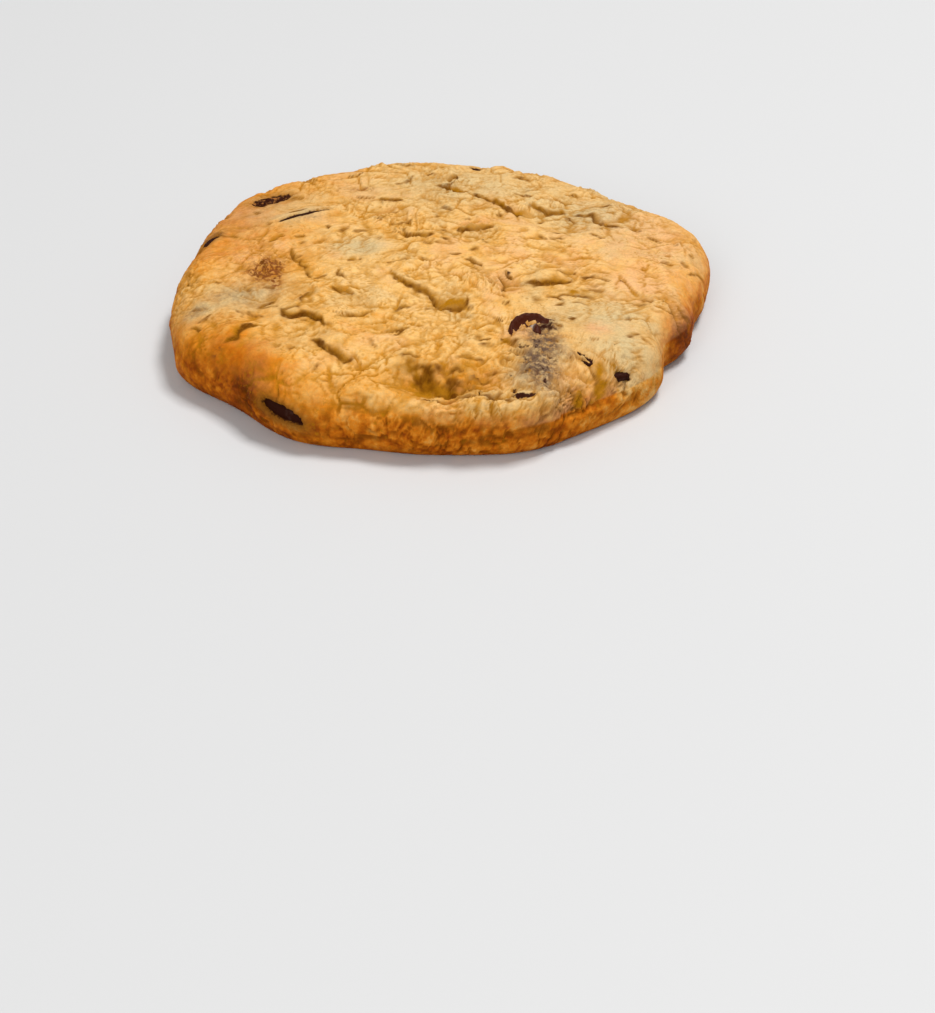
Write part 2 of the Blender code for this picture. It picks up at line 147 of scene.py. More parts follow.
# The power of the face's curve, its least width, and how its top and its surface are broken: length, share.
CRACK_ROUNDING = 1.7
LEAST_FACE = 0.12
BROKEN_TOP = (1.1, 0.45)
BROKEN_FACE = (0.7, 0.12)
# A crack's width, depth and painted dark line of shade vary by noise: wavelength, gain, least, most.
CRACK_WIDENING = (2.9, 2.3, 0.12, 1.6)
CRACK_DEEPENING = (2.7, 1.3, 0.35, 1.6)
CRACK_FOOT_SHADING = (1.5, 1.3, 0.25, 1.3)
# How far round its points a crack is worked out, in widths and in reaches of its step.
CRACK_MARGIN = (2.4, 2.2)
# Where the stain and painted shade fade in at the ends, the stain's share on the lip; the spread of the
# painted shade line at the foot, and the share of painted shade on the face.
STAIN_FADE = (0.05, 0.5)
STAIN_LIP = 0.7
FOOT_SHADE_SPREAD = 0.24
FACE_SHADE_SHARE = 0.5

# Mounds and hollows of the top: place, radius along and across, turn, rise.
MOUNDS = (
    # The valley along the front, and its crumbs.
    (-0.5, -36.8, 8, 2.6, -8, -1.7), (-6.5, -34.6, 3, 2, -35, -0.8), (-6.4, -33.6, 1.4, 1, -20, 0.5),
    (-1.2, -34.4, 1.5, 0.9, -30, 0.6), (2.6, -36.4, 1.3, 0.9, 10, 0.6), (-3.8, -37.4, 1.2, 0.8, -30, 0.5),
    # The lip, the lobes and the falls.
    (4, -42.4, 15, 1.3, 0, 0.7), (24.5, -35.5, 6.5, 5, 35, -1.5), (1.4, -14.6, 2.6, 2.2, 0, -0.7),
    (-23, -28, 6.5, 5, -30, 0.9), (27, -24, 7, 6, 0, 0.5), (37, 3, 6, 10, 0, -0.5), (14, -27, 4, 8, 0, 0.5),
    (-25, 15.5, 7, 4.5, 30, 0.6), (17.5, -37, 3, 2.5, 0, -0.8),
    # Pits.
    (-5, -21.8, 1.2, 0.9, 10, -0.9), (14, 6.8, 1.3, 0.8, 0, -0.8), (-20.6, 5.8, 1, 0.8, 20, -0.8),
    (10.4, -9.2, 1.5, 2.6, 10, -0.9), (5, 12.2, 2.6, 1, 10, -0.5), (12.4, 8.8, 1, 0.6, 0, -0.5),
    (-15, -24.6, 1.2, 0.8, 20, -0.5), (-12.6, -33.4, 1, 0.8, 0, -0.6),
)

# Lumps all over, as smooth noise: wavelength, height. They are the solids' own.
LUMPS = ((15.0, 0.55), (7.0, 0.38), (4.2, 0.22))
LUMP_SEED = 11
NOISE_GAIN = 1.6

# The lines of cracks wander by this much, over these lengths, and those of the finer relief by less.
WANDER = ((4.0, 0.9), (1.7, 0.45), (0.85, 0.15))
SLIGHT_WANDER = ((3.2, 0.4), (1.2, 0.16))

# Rounded lumps with sharp creases between: wavelength, height.
BILLOWS = ((6.5, 0.75), (3.4, 0.10))
BILLOW_MEAN = 0.26
BILLOW_CREASE = 0.06

# Plates with thin cracks between: size, how much one stands above another, crack depth, crack width. The
# cracks open in patches: wavelength, and the noise at their edge and inside them.
PLATES = ((6.8, 0.50, 0.46, 0.45), (3.6, 0.16, 0.22, 0.34))
PLATE_PATCHES = (6.0, -0.25, 0.35)
PLATE_EDGE = 0.3

# Crumb, as smooth noise: wavelength, height. It never weakens below the least share.
CRUMB_GRAIN = ((2.0, 0.13), (0.9, 0.08))
LEAST_GRAIN = 0.4

# Flaky ledges, in patches: wavelength, height from ledge to ledge, ledges per unit of noise. Their noise has
# a finer part: its share, and its share of the wavelength.
LEDGES = ((9.0, 0.50, 4.0), (4.4, 0.24, 3.2))
LEDGE_DETAIL = (0.35, 0.3)
LEDGE_CLIFF = 0.13
LEDGE_MEAN = -0.42
LEDGE_PATCHES = (7.0, -0.3, 0.3)

# How dark the painted shade in the grooves of ledges and billows is.
LEDGE_GROOVE_SHADE = 0.8
BILLOW_GROOVE_SHADE = 0.6

# Short cracks strewn over the skin: how many, and the least and most of each one's length, turn, bend, face
# width, gash depth, step, and stain and painted shade. Their turns favour lines across the cookie.
SHORT_CRACKS = 150
SHORT_LENGTH = (0.9, 4.6)
SHORT_TURN = (-50, 50)
SHORT_BEND = (-0.35, 0.35)
SHORT_FACE = (0.25, 0.8)
SHORT_GASH = (0.12, 0.42)
SHORT_STEP = (0.10, 0.40)
SHORT_STAIN = (0.25, 0.85)
SHORT_REACH = 1.3
SHORT_SEED = 5
TOP_REACH = 41.5

# Pits: spacing of the places that may have one, share that do, radius, depth. Their floor is level.
PITS = ((5.2, 0.20, 0.70, 0.50), (2.6, 0.14, 0.40, 0.30))
PIT_FLOOR = 0.4

# How strong the fine relief is: its mean, the wavelength over which it varies, and its limits. It weakens by
# a share where the skin's normal is low, except in front.
ROUGH_MEAN = 0.75
ROUGH_LENGTH = 9.0
ROUGH_LIMITS = (0.15, 1.8)
CALM_WALL = 0.5
CALM_STEEP = (0.9, 0.3)
CALM_FRONT = (-36, -22)

# Where the fine relief is stronger or weaker: place, radius along and across, turn, change.
ROUGHER = (
    (-23.5, -27.5, 8, 5, -30, -0.55), (27, -22, 8, 8, 0, -0.4), (38, 2, 6, 12, 0, -0.3),
    (-31, 11, 8, 6, 30, -0.35), (-25, 15.5, 7, 4, 30, -0.35), (-14, 3, 5, 3.5, 0, -0.45),
    (12, -34, 4, 6, 0, 0.85), (4, -42.4, 18, 3, 0, 0.7), (-28, -4, 3, 3.5, 0, 0.7), (20, -35, 4, 3, 0, 0.6),
    (12, 19, 16, 7, 0, 0.4), (-12, -24, 8, 5, 0, 0.2), (-1, -35, 7.5, 3.5, -20, 1),
)

# Grid points crowd at cracks: the share of the gap that they move, and the gap over which they do.
CROWD = 0.55
CROWD_REACH = 1.2
CROWD_LEVEL = (0.75, 0.95)

# The grid that wraps the top and the wall, and the rings that close the base: number, crowding, lift of the
# base, share of the way in at which the lift starts, and dimples (wavelength, height).
GRID_CELLS = 280
BASE_RINGS = 16
BASE_SPACING = 0.9
BASE_LIFT = 0.12
BASE_RIM = 0.94
BASE_DIMPLES = (2.5, 0.05)

# The even mixing of lattice points to 32-bit words.
MIX = (73856093, 19349663, 83492791)
MIX_SEED = 2654435761
MIX_AGAIN = 1274126177
WORD = 2 ** 32
HALF_WORD = 2 ** 16

# Chips as they show: node, place, size along, across and high, turn, depth of the middle under the skin, and
# the opening in the dough: half length and half width, depth, height of the dough's edge round it, how dark
# the dough is painted round it, as stain and shade, and how dark inside it, as painted shade. A top chip's
# place is on the plan, and its width lies along the second axis. A wall chip's place is an angle and a
# height, its turn is its slope, and its opening's width lies along the third axis.
TOP_CHIPS = (
    ("chip_melted", (13.6, -22.2), (9.6, 9.4, 4.4), 0, 1.9, (3.1, 2.9), 0.45, 0.15, 0.0, 0.0),
    ("chip_slit", (-23.5, 16.0), (10.8, 3.2, 1.8), 30, 1.0, (5.0, 0.88), 0.7, 0.30, 0.0, 1.0),
    ("chip_porous", (-29.5, 25.0), (7.8, 3.6, 2.0), 26, 0.92, (3.9, 1.8), 0.40, 0.10, 0.4, 0.7),
    ("chip_rim", (-38.5, 10.2), (4.6, 3.0, 2.0), 62, 1.0, (2.1, 0.95), 0.7, 0.20, 0.7, 1.0),
    ("chip_cleft", (21.4, -29.4), (4.6, 2.4, 1.8), -42, 1.20, (1.8, 0.24), 0.8, 0.0, 0.0, 1.0),
    ("chip_lens", (27.4, -30.9), (3.6, 2.6, 1.6), 20, 1.05, (1.35, 0.22), 0.7, 0.05, 0.0, 1.0),
    ("chip_back", (5.2, 37.2), (2.4, 1.8, 1.6), 0, 1.0, (1.0, 0.6), 0.5, 0.10, 0.2, 1.0),
)
WALL_CHIPS = (
    ("chip_front", (238.6, 5.2), (8.8, 2.8, 3.2), 11, 1.6, (4.0, 1.02), 0.9, 0.35, 0.9, 1.0),
    ("chip_right", (24.0, 4.6), (5.4, 2.4, 3.0), 14, 1.3, (2.3, 1.0), 0.7, 0.25, 0.4, 1.0),
)
BASE_CHIPS = (
    ("chip_base_left", (8.0, 5.4, 4.4), 35),
    ("chip_base_right", (6.0, 5.0, 4.0), -20),
)

# Round an opening: the raised edge's way past it and spread, how soft the edges of the opening and of its
# painted inner shade are, and the reach of the halo of stain and painted shade, plain and for each
# millimetre of the opening.
RAISED_EDGE = (0.4, 0.6)
HOLE_EDGE = 0.15
CHAR_EDGE = 0.12
HALO_REACH = (0.6, 0.35)

# The melted chip's ridge, seen from above about its middle: a line, its half width and its height over the
# chip's hidden level; the knob inside: place, half lengths, turn, height; and a painted highlight on its
# flank.
RIDGE = ((-3.1, -3.2), (-3.3, -1.4), (-3, 0.6), (-2.2, 2.1), (-0.8, 3), (0.7, 2.9), (2, 2), (3.3, 1.6))
RIDGE_WIDTH = 0.7
RIDGE_HEIGHT = 1.4
RIDGE_END = 0.65
KNOB = (0.6, -0.8, 0.75, 1.9, 8, 1.35)
HIGHLIGHT_SPOT = (-0.15, -0.3, 0.4, 1.1, -20)
HIGHLIGHT_STRENGTH = 1.3
MELT_LEVEL = 1.0
# Away from the ridge the chip dips towards its edge: shares of the radius from and to which, and depth.
MELT_RADIUS = 4.5
MELT_EDGE = (0.55, 1.0, 2.6)
RIDGE_KEEP = 0.9
# Its fine noise: gain, height.
MELT_GRAIN = ((1.3, 0.14), (4.0, 0.06))

# Chips are a little squared off, by a power, smaller than their pockets, and lumpy: gain, height. The rough
# ones have more of the fine lumps.
CHIP_POWER = 2.6
CHIP_SHARE = 0.94
CHIP_LUMPS = (1.6, 0.07)
CHIP_FINE_GAIN = 5.0
CHIP_FINE = 0.03
ROUGH_CHIPS = {"chip_porous": 0.22}

# A chip's level is that of the skin round it, without its opening: the mean over this ring of the skin.
TURNS = np.arange(12) * math.pi / 6
AROUND_SHARE = 0.045
AROUND_ANGLE = 2.6

# The camera, fitted to the photograph: place, fall below the horizon, lens.
CAMERA_PLACE = (3.7, -344.8, 186.3)
CAMERA_FALL = 32.8
CAMERA_LENS = 85.0

# Lights, which face the cookie's middle: name, place and size in metres, power.
LIGHTS = (
    ("key", (0.36, 0.26, 1.08), 0.36, 12.4),
    ("front fill", (-0.30, -1.00, 0.60), 0.7, 7.3),
)
SKY = 0.40
FLOOR_REACH = 12.0
FLOOR_DROP = 0.00002
FLOOR_COLOUR = (0.56, 0.56, 0.56)


def bump(gap, spread, power=2):
    """exp(-|gap / spread| ^ power): 1 at a gap of 0, and near 0 past the spread."""
    return np.exp(-np.abs(gap / spread) ** power)


def ease(low, high, value):
    """A smooth step: 0 below low, 1 above high, and 3t^2 - 2t^3 between."""
    part = np.clip((value - low) / (high - low), 0, 1)
    return part * part * (3 - 2 * part)


def turn_from(angle, middle):
    """The signed gap between two angles, -180 to 180."""
    return (angle - middle + 180.0) % 360.0 - 180.0


def outline(angle):
    """The radius at an angle: the driving radius plus a bell curve for each lobe."""
    radius = np.full_like(angle, RADIUS)
    for middle, spread, rise in LOBES:
        radius = radius + rise * bump(turn_from(angle, middle), spread)
    return radius


def dome(share):
    """The height of the top: a parabola from the middle's height to the edge's."""
    return TOP_EDGE + (TOP_MIDDLE - TOP_EDGE) * (1.0 - share ** 2)


def lengths(angle):
    """The parts of the profile at an angle: radius, shoulder, the shoulder's crest, and the lengths of the
    top, the shoulder and the tuck."""
    radius = outline(angle)
    lip = bump(turn_from(angle, LIP_ANGLE), LIP_SPREAD, 4)
    shoulder = SOFT_SHOULDER + (LIP_SHOULDER - SOFT_SHOULDER) * lip
    flat = radius - shoulder
    crest = dome(flat / RADIUS)
    upper = 0.5 * math.pi * np.sqrt((shoulder ** 2 + (crest - GIRTH_HEIGHT) ** 2) / 2)
    lower = 0.5 * math.pi * math.sqrt((FOOT_TUCK ** 2 + GIRTH_HEIGHT ** 2) / 2)
    return radius, shoulder, crest, flat, upper, lower


def wrapped(share, angle):
    """The plain skin and its outward normal, for shares 0 at the top's middle to 1 at the foot.

    Along its length the profile is the dome, a quarter ellipse over the shoulder to the girth, and a quarter
    ellipse that tucks in to the foot.
    """
    radius, shoulder, crest, flat, upper, lower = lengths(angle)
    run = share * (flat + upper + lower)
    over = 0.5 * math.pi * np.clip((run - flat) / upper, 0, 1)
    under = 0.5 * math.pi * np.clip((run - flat - upper) / lower, 0, 1)
    tucked = under > 0
    shoulder_out = np.minimum(run, flat) + shoulder * np.sin(over)
    shoulder_up = crest - (crest - GIRTH_HEIGHT) * (1 - np.cos(over))
    out = np.where(tucked, radius - FOOT_TUCK * (1 - np.cos(under)), shoulder_out)
    up = np.where(tucked, GIRTH_HEIGHT * (1 - np.sin(under)), shoulder_up)
    up = np.where(run < flat, dome(run / RADIUS), up)
    lean = np.where(tucked, 0.5 * math.pi, over)
    ray = np.stack([np.cos(np.radians(angle)), np.sin(np.radians(angle))], -1)
    place = np.concatenate([ray * out[:, None] + POLE, up[:, None]], -1)
    normal = np.concatenate([ray * np.sin(lean)[:, None], np.cos(lean)[:, None]], -1)
    return place, normal


def share_over(x, y):
    """The share and angle of the skin over a point of the plan, inside the girth."""
    angle = np.degrees(np.arctan2(y - POLE[1], x - POLE[0])) % 360
    out = np.hypot(x - POLE[0], y - POLE[1])
    _, shoulder, _, flat, upper, lower = lengths(angle)
    over = np.arcsin(np.clip((out - flat) / shoulder, 0, 1)) / (0.5 * math.pi)
    return (np.minimum(out, flat) + over * upper) / (flat + upper + lower), angle


def mixed_word(cell, seed):
    """A lattice point and a seed, mixed to an even 32-bit number."""
    mixed = (cell @ np.array(MIX) + seed * MIX_SEED) % WORD
    return (mixed ^ (mixed >> 13)) * MIX_AGAIN % WORD


def lattice_gradient(cell, seed):
    """An even pseudo-random direction for each lattice point, the same on each run."""
    mixed = mixed_word(cell, seed)
    rise = 2.0 * (mixed % HALF_WORD) / HALF_WORD - 1.0
    turn = 2.0 * math.pi * (mixed // HALF_WORD) / HALF_WORD
    level = np.sqrt(np.maximum(1.0 - rise ** 2, 0.0))
    return np.stack([level * np.cos(turn), level * np.sin(turn), rise], -1)


def smooth_noise(place, seed):
    """Gradient noise, about -1 to 1: the slopes of eight corners, blended by a quintic step."""
    cell = np.floor(place).astype(np.int64)
    part = place - cell
    blend = part ** 3 * (part * (part * 6 - 15) + 10)
    total = np.zeros(len(place))
    for corner in np.ndindex(2, 2, 2):
        step = np.array(corner)
        weight = np.prod(np.where(step, blend, 1 - blend), axis=-1)
        slope = lattice_gradient(cell + step, seed)
        total += weight * np.sum(slope * (part - step), axis=-1)
    return total * NOISE_GAIN


def cells(place, seed):
    """Cell noise: the distances to the nearest and second nearest seed points, and the nearest's number."""
    cell = np.floor(place).astype(np.int64)
    first = np.full(len(place), np.inf)
    second = np.full(len(place), np.inf)
    number = np.zeros(len(place))
    for corner in np.ndindex(3, 3, 3):
        near = cell + np.array(corner) - 1
        word = mixed_word(near, seed)
        other = mixed_word(near, seed + 1)
        jitter = np.stack([word % HALF_WORD, word // HALF_WORD, other % HALF_WORD], -1) / HALF_WORD
        gap = np.linalg.norm(near + jitter - place, axis=-1)
        nearer = gap < first
        second = np.where(nearer, first, np.minimum(second, gap))
        number = np.where(nearer, (other // HALF_WORD) / HALF_WORD, number)
        first = np.where(nearer, gap, first)
    return first, second, number


def wander(place, steps=WANDER):
    """The place, shifted by smooth noise, so that lines drawn on it run unevenly."""
    moved = place.copy()
    for order, (length, reach) in enumerate(steps):
        for axis in range(2):
            moved[:, axis] += reach * smooth_noise(place / length, 40 + 2 * order + axis)
    return moved


def along_line(place, points):
    """The distance to a line of points, the signed side (left is positive), the share run along it, and the
    way to its nearest point."""
    nearest = np.full(len(place), np.inf)
    side = np.zeros(len(place))
    along = np.zeros(len(place))
    foot = np.zeros((len(place), 2))
    ends = np.array(points, dtype=float)
    spans = np.linalg.norm(np.diff(ends, axis=0), axis=1)
    start = 0.0
    for first, last, length in zip(ends[:-1], ends[1:], spans):
        run = (last - first) / length
        away = place[:, :2] - first
        gone = np.clip(away @ run, 0, length)
        gap = np.linalg.norm(away - gone[:, None] * run, axis=1)
        closer = gap < nearest
        nearest = np.where(closer, gap, nearest)
        side = np.where(closer, run[0] * away[:, 1] - run[1] * away[:, 0], side)
        along = np.where(closer, start + gone, along)
        foot = np.where(closer[:, None], gone[:, None] * run - away, foot)
        start += length
    return nearest, side, along / start, foot


def crowded(share, angle):
    """The grid's shares and angles, moved so that points of the top crowd at the nearest crack's foot."""
    place, normal = wrapped(share, angle)
    moved = wander(place)
    least = np.full(len(place), np.inf)
    way = np.zeros((len(place), 2))
    for *_, points in CRACKS:
        nearest, _, _, foot = along_line(moved, points)
        closer = nearest < least
        way = np.where(closer[:, None], foot, way)
        least = np.where(closer, nearest, least)
    pull = CROWD * bump(least, CROWD_REACH) * ease(*CROWD_LEVEL, normal[:, 2])
    x, y = (place[:, :2] + way * pull[:, None]).T
    new_share, new_angle = share_over(x, y)
    stays = pull < 1e-4
    return np.where(stays, share, new_share), np.where(stays, angle, new_angle)


def mound(place, x, y, along, across, turn):
    """An elliptical bell of height 1."""
    run = math.radians(turn)
    dx = place[:, 0] - x
    dy = place[:, 1] - y
    first = (dx * math.cos(run) + dy * math.sin(run)) / along
    second = (dy * math.cos(run) - dx * math.sin(run)) / across
    return np.exp(-first ** 2 - second ** 2)


def turned(turns):
    """The matrix of Euler turns about X, then Y, then Z."""
    a, b, c = (math.radians(turn) for turn in turns)
    about_x = np.array([[1, 0, 0], [0, math.cos(a), -math.sin(a)], [0, math.sin(a), math.cos(a)]])
    about_y = np.array([[math.cos(b), 0, math.sin(b)], [0, 1, 0], [-math.sin(b), 0, math.cos(b)]])
    about_z = np.array([[math.cos(c), -math.sin(c), 0], [math.sin(c), math.cos(c), 0], [0, 0, 1]])
    return about_z @ about_y @ about_x


def chip_table():
    """Each chip of the top and wall: node, share and angle of its place, size, matrix, axes of its opening,
    depth, and the values of its opening."""
    table = []
    for node, where, size, turn, sunk, *hole in TOP_CHIPS:
        share, angle = share_over(np.array([where[0]]), np.array([where[1]]))
        table.append((node, share, angle, size, turned((0, 0, turn)), (0, 1), sunk, hole))
    for node, where, size, slope, sunk, *hole in WALL_CHIPS:
        angle = np.array([where[0]])
        _, _, crest, flat, upper, lower = lengths(angle)
        over = np.arccos(np.clip((where[1] - GIRTH_HEIGHT) / (crest - GIRTH_HEIGHT), 0, 1)) / (0.5 * math.pi)
        share = (flat + over * upper) / (flat + upper + lower)
        table.append((node, share, angle, size, turned((0, slope, where[0] + 90)), (0, 2), sunk, hole))
    return table


def openings(plain, moved):
    """How far the dough stands back over the chips, how dark it is painted round them, as stain and shade,
    and how dark inside, as painted shade, 0 to 1.

    An opening is an ellipse. The way past its edge is how far the ellipse's equation is from 1, over its
    slope.
    """
    height, halo_stain_and_shade, inside = np.zeros((3, len(plain)))
    for _, share, angle, _, matrix, axes, _, (hole, depth, edge, stain, inner_shade) in chip_table():
        middle, normal = wrapped(share, angle)
        close = np.linalg.norm(plain - middle[0], axis=1) < 3 * max(hole)
        first, second = ((moved - middle[0]) @ matrix)[:, axes].T
        away = np.maximum(np.hypot(first / hole[0], second / hole[1]), 1e-9)
        slope = np.maximum(np.hypot(first / hole[0] ** 2, second / hole[1] ** 2), 1e-9)
        beyond = (away - 1) * away / slope
        raised = edge * bump(beyond - RAISED_EDGE[0], RAISED_EDGE[1]) * ease(-0.1, HOLE_EDGE, beyond)
        height += close * (raised - depth * ease(HOLE_EDGE, -HOLE_EDGE, beyond))
        # The halo is brown stain and painted shade; the inside is painted shade.
        halo_stain_and_shade = np.maximum(halo_stain_and_shade, stain * close * ease(HALO_REACH[0] + HALO_REACH[1] * hole[0], 0, beyond))
        inside = np.maximum(inside, inner_shade * close * ease(CHAR_EDGE, -CHAR_EDGE, beyond))
    return height, halo_stain_and_shade, inside


def short_cracks():
    """The strewn cracks: each a bent line of three points about an even random place of the top."""
    dice = np.random.default_rng(SHORT_SEED)
    cracks = []
    for _ in range(SHORT_CRACKS):
        out = TOP_REACH * math.sqrt(dice.uniform())
        angle = dice.uniform(0, 2 * math.pi)
        middle = np.array([out * math.cos(angle), out * math.sin(angle)])
        half = 0.5 * dice.uniform(*SHORT_LENGTH)
        turn = math.radians(dice.uniform(*SHORT_TURN))
        along = half * np.array([math.cos(turn), math.sin(turn)])
        bend = half * dice.uniform(*SHORT_BEND) * np.array([-math.sin(turn), math.cos(turn)])
        *shape, stain = (dice.uniform(*span) for span in (SHORT_FACE, SHORT_GASH, SHORT_STEP, SHORT_STAIN))
        cracks.append((*shape, SHORT_REACH, stain, (middle - along, middle + bend, middle + along)))
    return cracks


def varied(place, seed, wavelength, gain, least, most):
    """A factor about 1 that varies over a place by noise, held between two limits."""
    return np.clip(1 + gain * smooth_noise(place / wavelength, seed), least, most)


def broken(moved, masks):
    """The cracks' relief: each is a step, with a gash at its foot and a rounded edge above.

    The lower side lies half a step down, and falls into the gash over its lip as a square. From the gash the
    face climbs as a quarter of a squarish ellipse to half a step up, steep at its foot and level at its top.
    Both sides return to the plain skin as bell curves of the distance. Widths and depths vary, and fade at
    the ends. The masks take an olive stain on the face and lip, partly painted shade, and painted shade as a
    dark line at its foot and over the face's lower part.
    """
    height = np.zeros(len(moved))
    widening = varied(moved, 131, *CRACK_WIDENING)
    deepening = varied(moved, 132, *CRACK_DEEPENING)
    foot_shading = varied(moved, 135, *CRACK_FOOT_SHADING)
    torn = BROKEN_FACE[1] * smooth_noise(moved / BROKEN_FACE[0], 133)
    broken_off = BROKEN_TOP[1] * smooth_noise(moved / BROKEN_TOP[0], 134)
    for face, depth, step, reach, stain, points in (*CRACKS, *short_cracks()):
        margin = CRACK_MARGIN[0] * face + CRACK_MARGIN[1] * reach
        face = CRACK_SPREADING * face
        low = np.min(points, axis=0) - margin
        high = np.max(points, axis=0) + margin
        here = np.nonzero(np.all((moved[:, :2] > low) & (moved[:, :2] < high), axis=1))[0]
        nearest, side, along, _ = along_line(moved[here], points)
        upper = side > 0
        fade = ease(0, CRACK_FADE, np.minimum(along, 1 - along))
        width = face * widening[here] * (CRACK_END + (1 - CRACK_END) * fade)
        shallowing = STEP_SHALLOWING if step > FULL_STEP else CRACK_SHALLOWING
        drop = shallowing * depth * deepening[here] * fade
        half = 0.5 * step * fade
        part = np.clip(nearest / np.maximum(width + face * broken_off[here], LEAST_FACE), 0, 1)
        climb = (1 - (1 - part) ** CRACK_ROUNDING) ** (1 / CRACK_ROUNDING)
        climbing = (2 * half + drop) * climb - half - drop + face * fade * (1 - part) * torn[here]
        above = np.where(part < 1, climbing, half * bump(nearest - width, reach))
        lip = np.clip(1 - nearest / CRACK_LIP, 0, 1) ** 2
        below = -half * bump(nearest, reach) - LIP_SHALLOWING * drop * lip
        height[here] += np.where(upper, above, below)
        shown = ease(*STAIN_FADE, fade)
        # The olive stain on the face and lip is partly painted shade; the dark line at the foot and the
        # darker lower face are painted shade.
        olive = shown * stain * np.where(upper, ease(1.0, 0.25, part), STAIN_LIP * lip)
        line = shown * (0.35 + 0.65 * stain) * bump(nearest, FOOT_SHADE_SPREAD) * foot_shading[here]
        crease = np.maximum(line, FACE_SHADE_SHARE * shown * stain * upper * ease(0.45, 0.0, part))
        masks["olive"][here] = np.maximum(masks["olive"][here], olive)
        masks["crease"][here] = np.maximum(masks["crease"][here], crease)
    return height


def ledges(value, count):
    """A value cut into level ledges, each with a smooth rise over its last part, as the change from the
    value; and how near its cliff a place is."""
    level = value * count
    part = level - np.floor(level)
    cliff = bump(part - 1 + 0.5 * LEDGE_CLIFF, 0.6 * LEDGE_CLIFF)
    return np.floor(level) + ease(1 - LEDGE_CLIFF, 1, part) - level, cliff


def patches(place, seed, length, low, high):
    """0 to 1 in patches: a smooth step of noise of a wavelength."""
    return ease(low, high, smooth_noise(place / length, seed))


def relief(place, normal):
    """How far the skin stands out along its normal, and the masks that colour it.

    The sum of: stepped cracks, mounds, noise lumps, flaky ledges, billows (the size of noise, so that its
    zeros are sharp creases), plates with cracks between, grain, round pits, and the openings over the chips.
    It dies away at the foot.
    """
    upness = np.sqrt(np.clip(normal[:, 2], 0, 1))
    moved = wander(place)
    near = wander(place, SLIGHT_WANDER)
    masks = {name: np.zeros(len(place)) for name in ("olive", "crease")}
    height = broken(moved, masks)
    for *ellipse, rise in MOUNDS:
        height += rise * mound(moved, *ellipse)
    height *= upness
    for number, (length, rise) in enumerate(LUMPS):
        height += rise * smooth_noise(place / length, LUMP_SEED + number)
    rough = ROUGH_MEAN + smooth_noise(place / ROUGH_LENGTH, 71)
    for *ellipse, change in ROUGHER:
        rough += change * mound(place, *ellipse)
    calm = CALM_WALL * ease(*CALM_STEEP, normal[:, 2]) * ease(*CALM_FRONT, place[:, 1])
    rough = np.clip(rough, *ROUGH_LIMITS) * (1 - calm)
    marked = np.clip(rough, 0, 1)
    # Painted shade for the grooves of ledges, billows and plates, for the colour.
    groove_shade = np.zeros(len(place))
    for number, (length, rise, count) in enumerate(LEDGES):
        share, finer = LEDGE_DETAIL
        flow = smooth_noise(near / length, 90 + number)
        flow += share * smooth_noise(near / (finer * length), 94 + number)
        offset, cliff = ledges(flow, count)
        here = patches(place, 97 + number, *LEDGE_PATCHES)
        height += rise * rough * here * (offset - LEDGE_MEAN)
        groove_shade = np.maximum(groove_shade, LEDGE_GROOVE_SHADE * cliff * here * marked)
    for number, (length, rise) in enumerate(BILLOWS):
        noise = smooth_noise(near / length, 110 + number)
        height += rise * rough * (np.abs(noise) - BILLOW_MEAN)
        groove_shade = np.maximum(groove_shade, BILLOW_GROOVE_SHADE * bump(noise, BILLOW_CREASE) * marked)
    for number, (size, lift, depth, width) in enumerate(PLATES):
        first, second, pick = cells(0.5 * (near + moved) / size, 140 + 2 * number)
        gap = (second - first) * size
        here = patches(place, 144 + number, *PLATE_PATCHES) * marked
        height += rough * lift * (pick - 0.5) * ease(0, PLATE_EDGE * size, gap)
        height -= depth * here * ease(width, 0, gap)
        groove_shade = np.maximum(groove_shade, here * ease(0.8 * width, 0.1 * width, gap))
    for number, (length, rise) in enumerate(CRUMB_GRAIN):
        height += rise * np.maximum(rough, LEAST_GRAIN) * smooth_noise(place / length, 150 + number)
    pitted = np.zeros(len(place))
    for number, (size, share, radius, depth) in enumerate(PITS):
        first, _, pick = cells(near / size, 120 + 2 * number)
        pit = (pick < share * rough) * ease(radius, PIT_FLOOR * radius, first * size)
        height -= depth * pit
        pitted = np.maximum(pitted, pit)
    hole, halo_stain_and_shade, inside = openings(place, near)
    height += hole
    masks = {name: mask * upness for name, mask in masks.items()}
    masks.update({"groove_shade": groove_shade, "pits": pitted, "halo_stain_and_shade": halo_stain_and_shade, "dark": inside})
    return height * np.clip(place[:, 2] / FOOT_CALM, 0, 1), masks


def disc_share(u, v):
    """Square to disc: rings of the square become rings of the disc, evenly round each ring."""
    share = np.maximum(np.abs(u), np.abs(v))
    wide = np.abs(u) >= np.abs(v)
    base = np.where(wide, u, v)
    base = np.where(base == 0, 1e-9, base)
    part = np.where(wide, v, u) / base
    angle = np.where(wide, 45.0 * part, 90.0 - 45.0 * part)
    return share, np.where(base < 0, angle + 180.0, angle) % 360.0


def grid_faces(side):
    """The quads of a square grid of points, wound to face up where columns run to the right."""
    first = (np.arange(side - 1)[:, None] * side + np.arange(side - 1)[None, :]).ravel()
    return np.stack([first, first + 1, first + side + 1, first + side], -1)


def build_mesh(name, place, quads, triangles, masks):
    """A mesh from arrays: places in millimetres, four-sided and three-sided faces, and masks by name."""
    mesh = bpy.data.meshes.new(name)
    mesh.from_pydata((place * MM).tolist(), [], quads.tolist() + triangles.tolist())
    mesh.validate()
    mesh.shade_smooth()
    for mask, values in masks.items():
        layer = mesh.attributes.new(mask, "FLOAT", "POINT")
        layer.data.foreach_set("value", np.clip(values, 0, 1).astype(np.float32))
    return mesh


